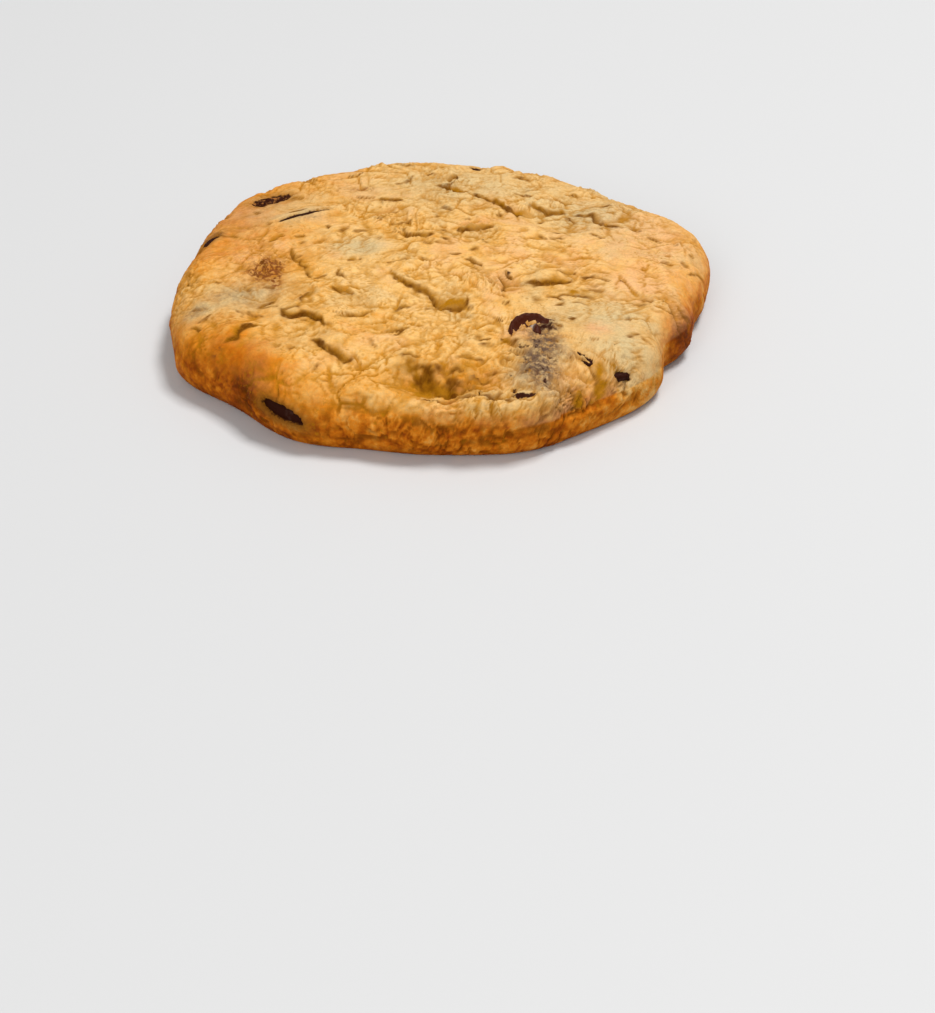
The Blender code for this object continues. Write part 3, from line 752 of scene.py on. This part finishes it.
def add_piece(name, mesh, material, node):
    """Link a finished mesh as a piece of the cookie, in place of its node."""
    piece = bpy.data.objects.new(name, mesh)
    bpy.context.scene.collection.objects.link(piece)
    mesh.materials.append(material)
    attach(piece, "root")
    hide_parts(node)


class Value:
    """A number socket of a shader, whose operators add Math nodes."""

    def __init__(self, paint, socket):
        self.paint = paint
        self.socket = socket

    def __add__(self, other):
        return self.paint.maths("ADD", self, other)

    def __sub__(self, other):
        return self.paint.maths("SUBTRACT", self, other)

    def __rsub__(self, other):
        return self.paint.maths("SUBTRACT", other, self)

    def __mul__(self, other):
        return self.paint.maths("MULTIPLY", self, other)

    __radd__ = __add__
    __rmul__ = __mul__


class Paint:
    """A material's node tree, with one call for any node and a few for the common ones."""

    def __init__(self, name, **constants):
        self.material = bpy.data.materials.new(name)
        self.material.use_nodes = True
        self.tree = self.material.node_tree
        self.shader = self.tree.nodes["Principled BSDF"]
        for socket, value in constants.items():
            self.shader.inputs[socket.replace("_", " ")].default_value = value
        self.place = self.node("ShaderNodeTexCoord", {}, {}).outputs["Object"]

    def node(self, kind, settings, inputs):
        """Add a node, set its settings first, and then give its sockets values or links."""
        node = self.tree.nodes.new(kind)
        for setting, value in settings.items():
            setattr(node, setting, value)
        for key, value in inputs.items():
            self.feed(node.inputs[key], value)
        return node

    def feed(self, socket, value):
        if isinstance(value, Value):
            value = value.socket
        if isinstance(value, bpy.types.NodeSocket):
            self.tree.links.new(value, socket)
        else:
            socket.default_value = value

    def value(self, kind, settings, inputs):
        """The first output of a new node, as a number."""
        return Value(self, self.node(kind, settings, inputs).outputs[0])

    def maths(self, operation, *values):
        return self.value("ShaderNodeMath", {"operation": operation}, dict(enumerate(values)))

    def mask(self, name):
        """A mask that the mesh carries on its points."""
        return Value(self, self.node("ShaderNodeAttribute", {"attribute_name": name}, {}).outputs["Fac"])

    def noise(self, length, detail=3.0, roughness=0.55):
        """Noise, about 0.5 on average, whose lumps are as long as the length in millimetres."""
        inputs = {"Vector": self.place, "Scale": 1 / (length * MM), "Detail": detail, "Roughness": roughness}
        return self.value("ShaderNodeTexNoise", {}, inputs)

    def veins(self, length, detail):
        """How far noise is from its mean, so that it is low along a web of thin lines."""
        return self.maths("ABSOLUTE", self.noise(length, detail) - 0.5)

    def spots(self, length, feature="F1"):
        """The distance to the nearest of points strewn about a length apart, in lengths."""
        inputs = {"Vector": self.place, "Scale": 1 / (length * MM)}
        return self.value("ShaderNodeTexVoronoi", {"feature": feature}, inputs)

    def step(self, value, low, high, to_low=0.0, to_high=1.0):
        """A smooth step from low to high."""
        inputs = {0: value, 1: low, 2: high, 3: to_low, 4: to_high}
        return self.value("ShaderNodeMapRange", {"interpolation_type": "SMOOTHSTEP"}, inputs)

    def ramp(self, value, stops):
        """A colour ramp through (position, colour) stops."""
        node = self.node("ShaderNodeValToRGB", {}, {0: value})
        points = node.color_ramp.elements
        while len(points) < len(stops):
            points.new(0.5)
        for point, (position, colour) in zip(points, stops):
            point.position = position
            point.color = (*colour, 1.0)
        return node.outputs[0]

    def blend(self, first, second, share, how="MIX"):
        """Two colours, blended by a share."""
        sockets = {0: share}
        for key, colour in ((6, first), (7, second)):
            sockets[key] = (*colour, 1.0) if isinstance(colour, tuple) else colour
        settings = {"data_type": "RGBA", "blend_type": how, "clamp_factor": True}
        return self.node("ShaderNodeMix", settings, sockets).outputs[2]

    def finish(self, colour, roughness, height):
        """Feed the shader's colour, its roughness, and its normal with a bump of a height."""
        inputs = {"Height": height, "Distance": BUMP_HEIGHT * MM, "Strength": BUMP_STRENGTH}
        bumped = self.node("ShaderNodeBump", {}, inputs).outputs[0]
        for key, value in (("Base Color", colour), ("Roughness", roughness), ("Normal", bumped)):
            self.feed(self.shader.inputs[key], value)
        return self.material


# The dough's colours from barely baked to deep brown.
BAKED = (
    (0.0, (0.76, 0.5, 0.22)), (0.22, (0.74, 0.42, 0.13)), (0.36, (0.68, 0.305, 0.055)),
    (0.5, (0.6, 0.195, 0.013)), (0.64, (0.46, 0.12, 0.004)), (0.8, (0.28, 0.056, 0.002)),
    (1.0, (0.12, 0.022, 0.002)),
)
# Olive: the yellowish stain of crack faces, and the painted shade of hollows, grooves, pits, pinholes and
# hairline cracks.
OLIVE = (0.37, 0.150, 0.003)
# A dark brown for painted shade at the feet of cracks and in hollows of the wall.
UMBER_SHADE = (0.12, 0.036, 0.001)
GREY_GREEN = (0.565, 0.42, 0.21)
LILAC = (0.125, 0.073, 0.045)
ROSY = (0.20, 0.060, 0.012)
# Round the chips' openings: a brown stain, partly painted shade.
HALO_STAIN_AND_SHADE = (0.20, 0.075, 0.008)
# Painted shade inside openings, a pit and the melted chip's hollow, and dark specks.
DARK_SPECKS_AND_SHADE = (0.032, 0.007, 0.0025)
BLUSH = (0.70, 0.36, 0.17)
# A painted highlight on the melted chip's knob.
PAINTED_HIGHLIGHT = (0.80, 0.66, 0.54)
CRUMB = (0.34, 0.13, 0.03)
BLOOM = (0.11, 0.065, 0.05)

# Chocolates: name, colour, gloss, roughness.
DARK = ("dark chocolate", (0.024, 0.0050, 0.0022), 0.03, 0.55)
MELTED = ("melted chocolate", (0.052, 0.0100, 0.0035), 0.05, 0.40)
CRUMBLY = ("crumbly chocolate", (0.030, 0.0065, 0.0025), 0.03, 0.7)
BLOOM_SHARE = 0.2
BLOOM_ROUGHER = 0.25

DOUGH_GLOSS = 0.04
DOUGH_ROUGHNESS = (0.62, 0.85)
SHADES = (0.84, 1.06)
# The share of painted shade in hollows.
HOLLOW_SHADE_SHARE = 0.65
# The share of painted shade in pinholes and hairline cracks.
PINHOLE_SHADE_SHARE = 0.55
BUMP_HEIGHT = 0.35
BUMP_STRENGTH = 0.6


def dough_paint():
    """Baked dough: a ramp of browning, stained in cracks and near chips, with painted shade in cracks,
    hollows, grooves, pits and chip openings, and a crumb of fine noise.

    Browning is the mesh's own plus noise, which is stronger on the wall, and less on what stands proud, as
    painted light; the mesh's own browning holds painted shade in grooves, pits and the front valley. The
    stains and painted shades are blended one over another, each by its mask times a smooth step of noise.
    """
    paint = Paint("baked dough", Specular_IOR_Level=DOUGH_GLOSS)
    noise, step, mask = paint.noise, paint.step, paint.mask
    fine = noise(0.8, 4.0, 0.65)
    broad = noise(4.5)
    tone = noise(8.0, 2.0)
    wall = mask("wall")
    blotch = (noise(2.2, 3.0, 0.6) - 0.5) * (0.25 + 0.55 * wall) + (noise(1.0, 2.0) - 0.5) * wall * 0.35
    # Less browning on what stands proud: painted light.
    browning_shade_and_light = mask("brown_and_shade") + (broad - 0.5) * 0.26 + (fine - 0.5) * 0.26 + blotch - mask("proud_light") * 0.07
    speck = step(noise(1.0, 3.0, 0.6), 0.58, 0.68) * mask("lilac") * 0.8
    # Painted shade inside the openings, with the other dark spots of the mask.
    dark_spots_and_shade = mask("dark") + (noise(0.9, 3.0, 0.65) - 0.5) * step(mask("dark"), 0.0, 0.4) * 1.6
    # Painted shade in hairline cracks and tiny holes.
    hairline_shade = step(paint.veins(4.0, 4.0), 0.0, 0.012, 1.0, 0.0) * step(noise(9.0), 0.46, 0.6)
    pinhole_shade = step(paint.spots(1.5), 0.12, 0.26, 1.0, 0.0) * step(noise(5.0), 0.45, 0.62)
    stains = (
        (GREY_GREEN, mask("open") * step(tone, 0.50, 0.68, 0.0, 0.45)),
        (BLUSH, mask("open") * step(tone, 0.48, 0.32, 0.0, 0.40)),
        (GREY_GREEN, mask("pale") * step(noise(2.5), 0.3, 0.6, 0.65, 1.0)),
        (BLUSH, mask("blush") * step(noise(1.8), 0.35, 0.6, 0.3, 0.9)),
        # Painted shade in hollows: olive on the top, umber on the wall.
        (OLIVE, mask("hollow") * (1 - wall) * HOLLOW_SHADE_SHARE),
        (UMBER_SHADE, mask("hollow") * wall * HOLLOW_SHADE_SHARE),
        # Olive on crack faces, partly painted shade, and painted shade in grooves, pits and the front
        # valley.
        (OLIVE, mask("olive") * step(fine, 0.25, 0.55, 0.88, 1.0)),
        (LILAC, mask("lilac") * step(noise(1.1, 4.0, 0.7), 0.36, 0.58, 0.35, 1.0)),
        (ROSY, mask("rosy") * step(paint.veins(1.5, 3.0), 0.02, 0.09, 1.0, 0.25)),
        # Painted shade at the feet of cracks and along the front valley.
        (UMBER_SHADE, mask("crease") * step(fine, 0.25, 0.6, 0.6, 0.95)),
        # Stain and painted shade round the openings; painted shade inside them, and dark specks.
        (HALO_STAIN_AND_SHADE, mask("halo_stain_and_shade")),
        (DARK_SPECKS_AND_SHADE, paint.maths("MAXIMUM", step(dark_spots_and_shade, 0.25, 0.7), speck)),
        # Painted shade: olive in hairline cracks and tiny holes.
        (OLIVE, paint.maths("MAXIMUM", pinhole_shade, hairline_shade) * PINHOLE_SHADE_SHARE),
    )
    colour = paint.ramp(browning_shade_and_light, BAKED)
    for stain, share in stains:
        colour = paint.blend(colour, stain, share)
    shade = step(noise(0.4, 3.0, 0.7), 0.3, 0.7, *SHADES)
    tint = paint.node("ShaderNodeCombineColor", {}, {0: shade, 1: shade, 2: shade}).outputs[0]
    colour = paint.blend(colour, tint, 1.0, "MULTIPLY")
    crumb = noise(0.5, 4.0, 0.65) * 0.6 + paint.spots(0.8, "SMOOTH_F1") * 0.4
    return paint.finish(colour, step(broad, 0.3, 0.7, *DOUGH_ROUGHNESS), crumb)


def chocolate_paint(name, colour, gloss, roughness, highlighted=False, crumbly=False):
    """Dark chocolate with patches of grey bloom. A highlighted chip has a painted highlight, a pale spot
    where its mask 'bare' lies, and a crumbly one has crumbs of dough in it."""
    paint = Paint(name, Specular_IOR_Level=gloss)
    noise, step = paint.noise, paint.step
    bloom = step(noise(1.3, 4.0), 0.56, 0.74, 0.0, BLOOM_SHARE)
    colour = paint.blend(colour, BLOOM, bloom)
    if crumbly:
        colour = paint.blend(colour, CRUMB, step(noise(1.1, 4.0, 0.65), 0.50, 0.62, 0.0, 0.9))
    # A painted highlight: a pale spot on the melted chip's knob, by the mask 'bare'.
    if highlighted:
        colour = paint.blend(colour, PAINTED_HIGHLIGHT, paint.mask("bare") * step(noise(1.0), 0.35, 0.6, 0.5, 1.0))
    roughness = step(bloom, 0.0, BLOOM_SHARE, roughness, roughness + BLOOM_ROUGHER)
    return paint.finish(colour, roughness, noise(0.6, 4.0))


# Painted shade in hollows, and painted light on what stands proud: reach in cells, depth that counts in
# full, share.
HOLLOW_SHADING = ((2, 0.10, 0.5), (7, 0.38, 0.6))

# How brown the dough is, 0 to 1: the open top; what the left, the front, noise, the rim, the wall, its left,
# its foot, and painted shade in grooves and pits add; the base; and the lip's crest and two sectors (angle,
# spread, change).
BROWN_TOP = 0.22
BROWN_LEFT = 0.10
BROWN_FRONT = 0.06
BROWN_UNEVEN = 0.05
BROWN_RIM = 0.14
BROWN_WALL = 0.21
BROWN_LEFT_WALL = -0.04
BROWN_FOOT = 0.06
GROOVE_SHADE = 0.12
PIT_SHADE = 0.15
BROWN_BASE = 0.66
BROWN_CREST = -0.18
PALE_SECTOR = (318, 14, -0.20)
BROWN_SECTOR = (341, 9, 0.25)

# Places that are browner or paler: place, reach, change. Most baked so; some are partly painted shade, as
# noted.
BROWNER = (
    # The first is browner and partly painted shade, under the left shoulder above the front chip.
    (-29, -30.5, 6, 5.5, 0.26), (-34, -24, 6.5, 3, 0.12), (24.5, -33.4, 5.5, 2.5, 0.22),
    (37.5, -13, 6, 4.5, 0.2), (-15, -40.5, 7, 4, 0.08), (-32, 15, 9.5, 9, 0.16), (-42, -9, 7, 9, -0.18),
    (-14, -41, 7, 8, -0.06), (43, 2, 6, 10, 0.06), (26, -34, 2.5, 5, -0.06), (-12, -8, 12, 6, -0.03),
    # These three, along the front valley, are browner and partly painted shade.
    (-3, -35, 9.5, 4.2, 0.12), (5.5, -33.6, 10, 3.2, 0.09), (1.5, -38.6, 8.6, 2.6, 0.25),
    (-28.4, -4, 11.5, 3.8, 0.16), (6, 12, 11.5, 2.4, 0.12),
)

# Stains and painted shade by mask: place, radius along and across, turn, strength. Those of cracks are
# blotchy.
STAINS = {
    "pale": (
        (26, -19, 7.5, 8, 0, 1), (20, -18, 6, 5, 0, 0.8), (12, -37, 3, 3.5, 0, 0.9),
        (17.5, -30, 2.5, 6, 0, 0.7), (-14, 3, 4.5, 3.2, 0, 1.5), (27, -26.5, 7, 6, 0, 1),
        (-25, 17, 7, 4, 25, 0.8), (-32, -11.5, 7.5, 4.5, 15, 0.9), (-37.5, -14.5, 3, 3.5, 0, 0.8),
        (4, 28, 20, 10, 0, 0.75), (24, 17, 10, 8, -30, 1.1), (1, 9, 3, 1.5, 0, 0.6),
        (-28, 20, 10, 7, 40, 0.6), (7, -39.6, 5, 1.2, 0, 0.5), (14, -35, 4.5, 5, 0, 1),
    ),
    "blush": (
        (10.2, -9.4, 1.7, 2.7, 10, 1), (5, 12.6, 2.4, 1, 10, 0.9), (32, -8, 6, 5, 0, 0.7),
        (33, 5, 9, 14, 0, 0.6), (-30, 3, 7, 5, 0, 0.6), (23.5, -22, 1.6, 1.8, 0, 0.9),
        (19, -36, 5, 4, 0, 0.6), (11.7, -23.6, 1.3, 2.2, 0, 0.9),
    ),
    "lilac": (
        (15, -27.2, 2.6, 4.6, 4, 1.6), (14.4, -33.4, 3, 5, 0, 1.3), (15.8, -21.9, 1.5, 2.4, 0, 1.5),
        (-33, -11.5, 6.5, 4.2, 10, 0.35), (-23.4, 13.6, 3.2, 0.9, 28, 0.45), (-38.6, -14.6, 2, 1.4, 15, 0.6),
        (-38.2, 11.4, 2, 1.5, 60, 0.8),
    ),
    "rosy": (
        (-28.6, -2.8, 2.8, 3.4, 0, 1.8), (-27, -6.6, 1.1, 2.8, 0, 1.8), (-14.4, 28.4, 2.2, 1, 0, 0.7),
        (-34.8, -25.4, 1, 0.8, 0, 0.8),
    ),
    "olive": (
        # Stains of crack faces; those in the front valley and at (9.8, -26.6) are painted shade.
        (20.9, -36.4, 1.5, 1, 0, 1), (23.6, -33.2, 1, 2.6, -12, 0.9), (0.9, -15.3, 2.4, 1.4, 0, 1.2),
        (20.8, -11, 3.2, 0.9, 0, 0.9), (-0.5, -38.2, 6.5, 1.6, -8, 0.9), (-2.6, -35.4, 4.6, 1.8, -34, 1),
        (-20, -20.6, 1.6, 1.4, 0, 0.8), (-22, -13, 1, 3, 0, 0.6), (9.8, -26.6, 1.4, 0.6, 15, 0.9),
        (-16.8, -28.6, 2, 1.2, -40, 0.6), (4, -34, 5, 1.4, 0, 0.5),
    ),
    "crease": (
        # Painted shade along the front valley.
        (-0.4, -35.2, 4.6, 1.4, -34, 0.5), (-2.6, -34.4, 3.2, 1.5, -40, 1), (1.4, -36.6, 3.2, 1.4, -25, 1),
        (3.4, -38.2, 1.6, 0.5, -10, 0.8), (-0.8, -33.6, 1.2, 0.5, -20, 0.7), (5.6, -35.6, 1.6, 0.5, 10, 0.6),
    ),
    "dark": (
        # Dark spots; those in the pit at (10.3, -6.2) and in the melted chip's hollow at (15.7, -21.7) are
        # painted shade.
        (12.4, -29, 0.6, 0.5, 30, 0.7), (12.2, -32, 0.5, 1.4, 0, 0.6), (10.7, -30.6, 0.6, 0.4, 0, 0.7),
        (10.4, -35.6, 0.6, 0.4, 0, 0.8), (15.3, -36.2, 0.6, 0.5, 0, 0.9), (12, -39.8, 1.7, 0.4, -10, 1.1),
        (15.7, -21.7, 1.4, 1.9, 0, 0.75), (10.4, -38.4, 0.5, 0.7, 0, 0.6), (10.3, -6.2, 0.6, 0.5, 0, 0.8),
        (0, 28.5, 1.1, 0.6, 0, 0.6),
    ),
}


def smoothed(grid, reach):
    """The moving mean of a square array over a few cells each way, with its edges held."""
    span = 2 * reach + 1
    for axis in range(2):
        total = np.cumsum(np.pad(grid, ((reach + 1, reach), (0, 0)), "edge"), axis=0)
        grid = ((total[span:] - total[:-span]) / span).T
    return grid


def hollows(height, side):
    """How far each point of the grid lies under the mean of those round it, near and further, about -1 to
    1."""
    grid = height.reshape(side, side)
    under = np.zeros_like(grid)
    for reach, depth, share in HOLLOW_SHADING:
        under += share * np.clip((smoothed(grid, reach) - grid) / depth, -1, 1)
    return under.ravel()


def paint_masks(place, normal, masks):
    """The masks of the dough's material, from where a point lies and what its relief is."""
    away = place[:, :2] - POLE
    out = np.hypot(away[:, 0], away[:, 1]) / RADIUS
    angle = np.degrees(np.arctan2(away[:, 1], away[:, 0])) % 360
    wall = ease(0.25, 0.85, 1 - np.clip(normal[:, 2], 0, 1))
    uneven = smooth_noise(place / 9.0, 61)
    left = ease(-8, -34, place[:, 0])
    front = ease(-18, -40, place[:, 1])
    lip = bump(turn_from(angle, LIP_ANGLE), LIP_SPREAD, 4)
    crest = lip * ease(7.4, 9.2, place[:, 2]) * ease(0.87, 0.92, out)
    rim = ease(0.72, 0.98, out + 0.05 * uneven) * (0.35 + 0.65 * np.maximum(left, 0.5 * front))
    brown_and_shade = BROWN_TOP + BROWN_LEFT * left + BROWN_FRONT * front + BROWN_UNEVEN * uneven + BROWN_RIM * rim
    brown_and_shade += BROWN_CREST * crest + wall * (BROWN_WALL + BROWN_LEFT_WALL * left)
    brown_and_shade += wall * BROWN_FOOT * ease(5.0, 1.5, place[:, 2])
    for x, y, z, reach, change in BROWNER:
        brown_and_shade += change * np.exp(-((place - (x, y, z)) ** 2).sum(-1) / reach ** 2)
    for (middle, spread, change), share in ((PALE_SECTOR, wall), (BROWN_SECTOR, ease(0.82, 0.95, out))):
        brown_and_shade += change * bump(turn_from(angle, middle), spread) * share
    # Painted shade: grooves and pits are browner.
    brown_and_shade += GROOVE_SHADE * masks["groove_shade"] + PIT_SHADE * masks["pits"]
    under = ease(0.6, 0.0, place[:, 2])
    masks["brown_and_shade"] = brown_and_shade * (1 - under) + under * (BROWN_BASE + BROWN_UNEVEN * uneven)
    masks["wall"] = wall
    masks["open"] = (1 - wall) * (1 - 0.7 * left) * (1 - 0.5 * front)
    # Painted shade: grooves and pits take olive.
    masks["olive"] = np.maximum(masks["olive"], 0.7 * masks["groove_shade"] * (1 - wall))
    masks["olive"] = np.maximum(masks["olive"], 0.5 * masks["pits"])
    moved = wander(place)
    blotchy = np.clip(1 + 1.8 * smooth_noise(place / 1.4, 63), 0.15, 1.6)
    for mask, stains in STAINS.items():
        for *ellipse, strength in stains:
            stain = strength * mound(moved, *ellipse) * (normal[:, 2] > 0.2)
            if mask in ("olive", "crease"):
                stain *= blotchy
            masks[mask] = np.maximum(masks.get(mask, 0.0), stain)
    return masks


def make_dough():
    """The skin: a square grid wrapped over the top and wall, displaced, and closed by rings on the base."""
    side = GRID_CELLS + 1
    steps = np.linspace(-1, 1, side)
    u, v = np.meshgrid(steps, steps)
    plain, normal = wrapped(*crowded(*disc_share(u.ravel(), v.ravel())))
    height, masks = relief(plain, normal)
    skin = plain + normal * height[:, None]
    # Painted shade in hollows and painted light on what stands proud, from the relief.
    under = hollows(height, side)
    masks["hollow"] = np.maximum(under, 0)
    masks["proud_light"] = np.maximum(-under, 0)
    index = np.arange(side * side).reshape(side, side)
    rim = np.concatenate([index[0, :-1], index[:-1, -1], index[-1, :0:-1], index[:0:-1, 0]])
    shares = 1 - np.linspace(0, 1, BASE_RINGS + 2)[1:-1] ** BASE_SPACING
    middle = np.array([*POLE, 0.0])
    base = middle + (skin[rim][None] - middle) * shares[:, None, None]
    base[..., 2] = BASE_LIFT * ease(1.0, BASE_RIM, shares)[:, None]
    base = base.reshape(-1, 3)
    length, dimple = BASE_DIMPLES
    base[:, 2] += dimple * np.abs(smooth_noise(base / length, 33)) * (base[:, 2] > 0)
    place = np.concatenate([skin, base, [[*POLE, BASE_LIFT]]])
    loops = np.concatenate([rim[None], len(skin) + np.arange(len(base)).reshape(BASE_RINGS, -1)])
    ahead = np.roll(loops, -1, axis=1)
    rings = np.stack([loops[:-1], loops[1:], ahead[1:], ahead[:-1]], -1).reshape(-1, 4)
    fan = np.stack([loops[-1], np.full(len(rim), len(place) - 1), ahead[-1]], -1)
    extra = len(place) - len(skin)
    masks = {mask: np.concatenate([values, np.zeros(extra)]) for mask, values in masks.items()}
    masks = paint_masks(place, np.concatenate([normal, np.tile([0.0, 0.0, -1.0], (extra, 1))]), masks)
    mesh = build_mesh("dough_skin", place, np.concatenate([grid_faces(side), rings]), fan, masks)
    add_piece("dough_skin", mesh, dough_paint(), "dough")


def ball(rings, columns):
    """A unit ball of latitude rings and columns: its points, quads and the triangles at its poles."""
    rise = np.linspace(-0.5 * math.pi, 0.5 * math.pi, rings + 2)[1:-1]
    turn = np.linspace(0, 2 * math.pi, columns, endpoint=False)
    level, spin = np.meshgrid(np.cos(rise), turn, indexing="ij")
    up, spin = np.meshgrid(np.sin(rise), turn, indexing="ij")
    body = np.stack([level * np.cos(spin), level * np.sin(spin), up], -1).reshape(-1, 3)
    index = np.arange(rings * columns).reshape(rings, columns)
    ahead = np.roll(index, -1, axis=1)
    quads = np.stack([index[:-1], ahead[:-1], ahead[1:], index[1:]], -1).reshape(-1, 4)
    low, high = rings * columns, rings * columns + 1
    south = np.stack([np.full(columns, low), ahead[0], index[0]], -1)
    north = np.stack([np.full(columns, high), index[-1], ahead[-1]], -1)
    return np.concatenate([body, [[0, 0, -1], [0, 0, 1]]]), quads, np.concatenate([south, north])


def chip_surface(points, size, seed, fine):
    """A chunk: the ball stretched to its size, squared off a little, and roughened by two noises."""
    blocky = points / np.linalg.norm(points, ord=CHIP_POWER, axis=1)[:, None]
    gain, lump = CHIP_LUMPS
    lumpy = 1 + lump * smooth_noise(points * gain, seed)
    lumpy += fine * smooth_noise(points * CHIP_FINE_GAIN, seed + 1)
    return blocky * lumpy[:, None] * np.array(size) / 2 * CHIP_SHARE


def melted(place):
    """The melted chip's top: a ridge along a hooked line and a knob, over a level hidden under the dough.

    The upper half of the chunk is pressed to this height: the ridge's bell curve over its line, plus the
    knob's. It dips further down towards the chip's edge, away from the ridge.
    """
    nearest, _, along, _ = along_line(place, RIDGE)
    ends = ease(0.0, 0.2, along) * ease(1.0, 0.75, along)
    top = MELT_LEVEL + RIDGE_HEIGHT * bump(nearest, RIDGE_WIDTH) * (RIDGE_END + (1 - RIDGE_END) * ends)
    *ellipse, rise = KNOB
    top += rise * mound(place, *ellipse)
    start, end, dip = MELT_EDGE
    away = np.hypot(place[:, 0], place[:, 1]) / MELT_RADIUS
    top -= dip * ease(start, end, away) * (1 - bump(nearest, RIDGE_KEEP))
    for order, (gain, rise) in enumerate(MELT_GRAIN):
        top += rise * smooth_noise(place * gain, 301 + order)
    shaped = place.copy()
    shaped[:, 2] = np.where(place[:, 2] > 0, top, place[:, 2])
    # The mask 'bare' places the painted highlight on the knob's flank.
    return shaped, {"bare": HIGHLIGHT_STRENGTH * mound(place, *HIGHLIGHT_SPOT)}


def make_chips():
    """The chips of the top and wall, in the skin at their nodes, and the base's flush with the flat."""
    dark = chocolate_paint(*DARK)
    glossy = chocolate_paint(*MELTED, highlighted=True)
    crumbly = chocolate_paint(*CRUMBLY, crumbly=True)
    sphere, quads, triangles = ball(40, 56)
    chips = []
    for order, (node, share, angle, size, matrix, _, sunk, _) in enumerate(chip_table()):
        skin, normal = wrapped(share, angle)
        around = wrapped(share + AROUND_SHARE * np.cos(TURNS), angle + AROUND_ANGLE * np.sin(TURNS) / share)
        height, _ = relief(*around)
        bare = np.mean(height - openings(around[0], wander(around[0], SLIGHT_WANDER))[0])
        points = chip_surface(sphere, size, 200 + 10 * order, ROUGH_CHIPS.get(node, CHIP_FINE))
        paint, masks = crumbly if node in ROUGH_CHIPS else dark, {}
        if node == "chip_melted":
            paint = glossy
            points, masks = melted(points)
        chips.append((node, points @ matrix.T + (skin + normal * (bare - sunk))[0], paint, masks))
    for order, (node, size, turn) in enumerate(BASE_CHIPS):
        points = chip_surface(sphere, size, 400 + 10 * order, CHIP_FINE) @ turned((0, 0, turn)).T
        low, high = (np.array(corner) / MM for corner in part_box(node))
        points[:, :2] += (low + high)[:2] / 2
        points[:, 2] = np.maximum(points[:, 2], 0.0)
        chips.append((node, points, dark, {}))
    for node, points, paint, masks in chips:
        name = node + "_chocolate"
        add_piece(name, build_mesh(name, points, quads, triangles, masks), paint, node)


def make_floor():
    """A wide pale floor, just under the cookie."""
    paint = Paint("pale floor", Roughness=0.6)
    grain = paint.blend(FLOOR_COLOUR, tuple(0.97 * part for part in FLOOR_COLOUR), paint.noise(400.0, 2.0))
    paint.feed(paint.shader.inputs["Base Color"], grain)
    mesh = bpy.data.meshes.new("floor")
    corners = [(x * FLOOR_REACH, y * FLOOR_REACH, 0) for x, y in ((-1, -1), (1, -1), (1, 1), (-1, 1))]
    mesh.from_pydata(corners, [], [(0, 1, 2, 3)])
    mesh.materials.append(paint.material)
    floor = bpy.data.objects.new("floor", mesh)
    floor.location.z = -FLOOR_DROP
    bpy.context.scene.collection.objects.link(floor)


def make_lights():
    """A soft key from behind on the right, a weak fill in front, and a pale sky."""
    for name, place, size, power in LIGHTS:
        data = bpy.data.lights.new(name, "AREA")
        data.size = size
        data.energy = power
        light = bpy.data.objects.new(name, data)
        light.location = place
        x, y, z = place
        light.rotation_euler = (math.acos(z / math.hypot(x, y, z)), 0, math.atan2(x, -y))
        bpy.context.scene.collection.objects.link(light)
    world = bpy.data.worlds.new("studio")
    bpy.context.scene.world = world
    world.use_nodes = True
    background = world.node_tree.nodes["Background"]
    background.inputs["Color"].default_value = (1, 1, 1, 1)
    background.inputs["Strength"].default_value = SKY


def make_camera():
    data = bpy.data.cameras.new("camera")
    data.lens = CAMERA_LENS
    data.sensor_width = 36.0
    data.clip_start = 0.01
    camera = bpy.data.objects.new("camera", data)
    camera.location = [value * MM for value in CAMERA_PLACE]
    camera.rotation_euler = (math.radians(90 - CAMERA_FALL), 0, 0)
    bpy.context.scene.collection.objects.link(camera)
    bpy.context.scene.camera = camera


def main():
    bpy.context.scene.view_settings.view_transform = "Standard"
    make_camera()
    make_lights()
    make_floor()
    make_dough()
    make_chips()


main()
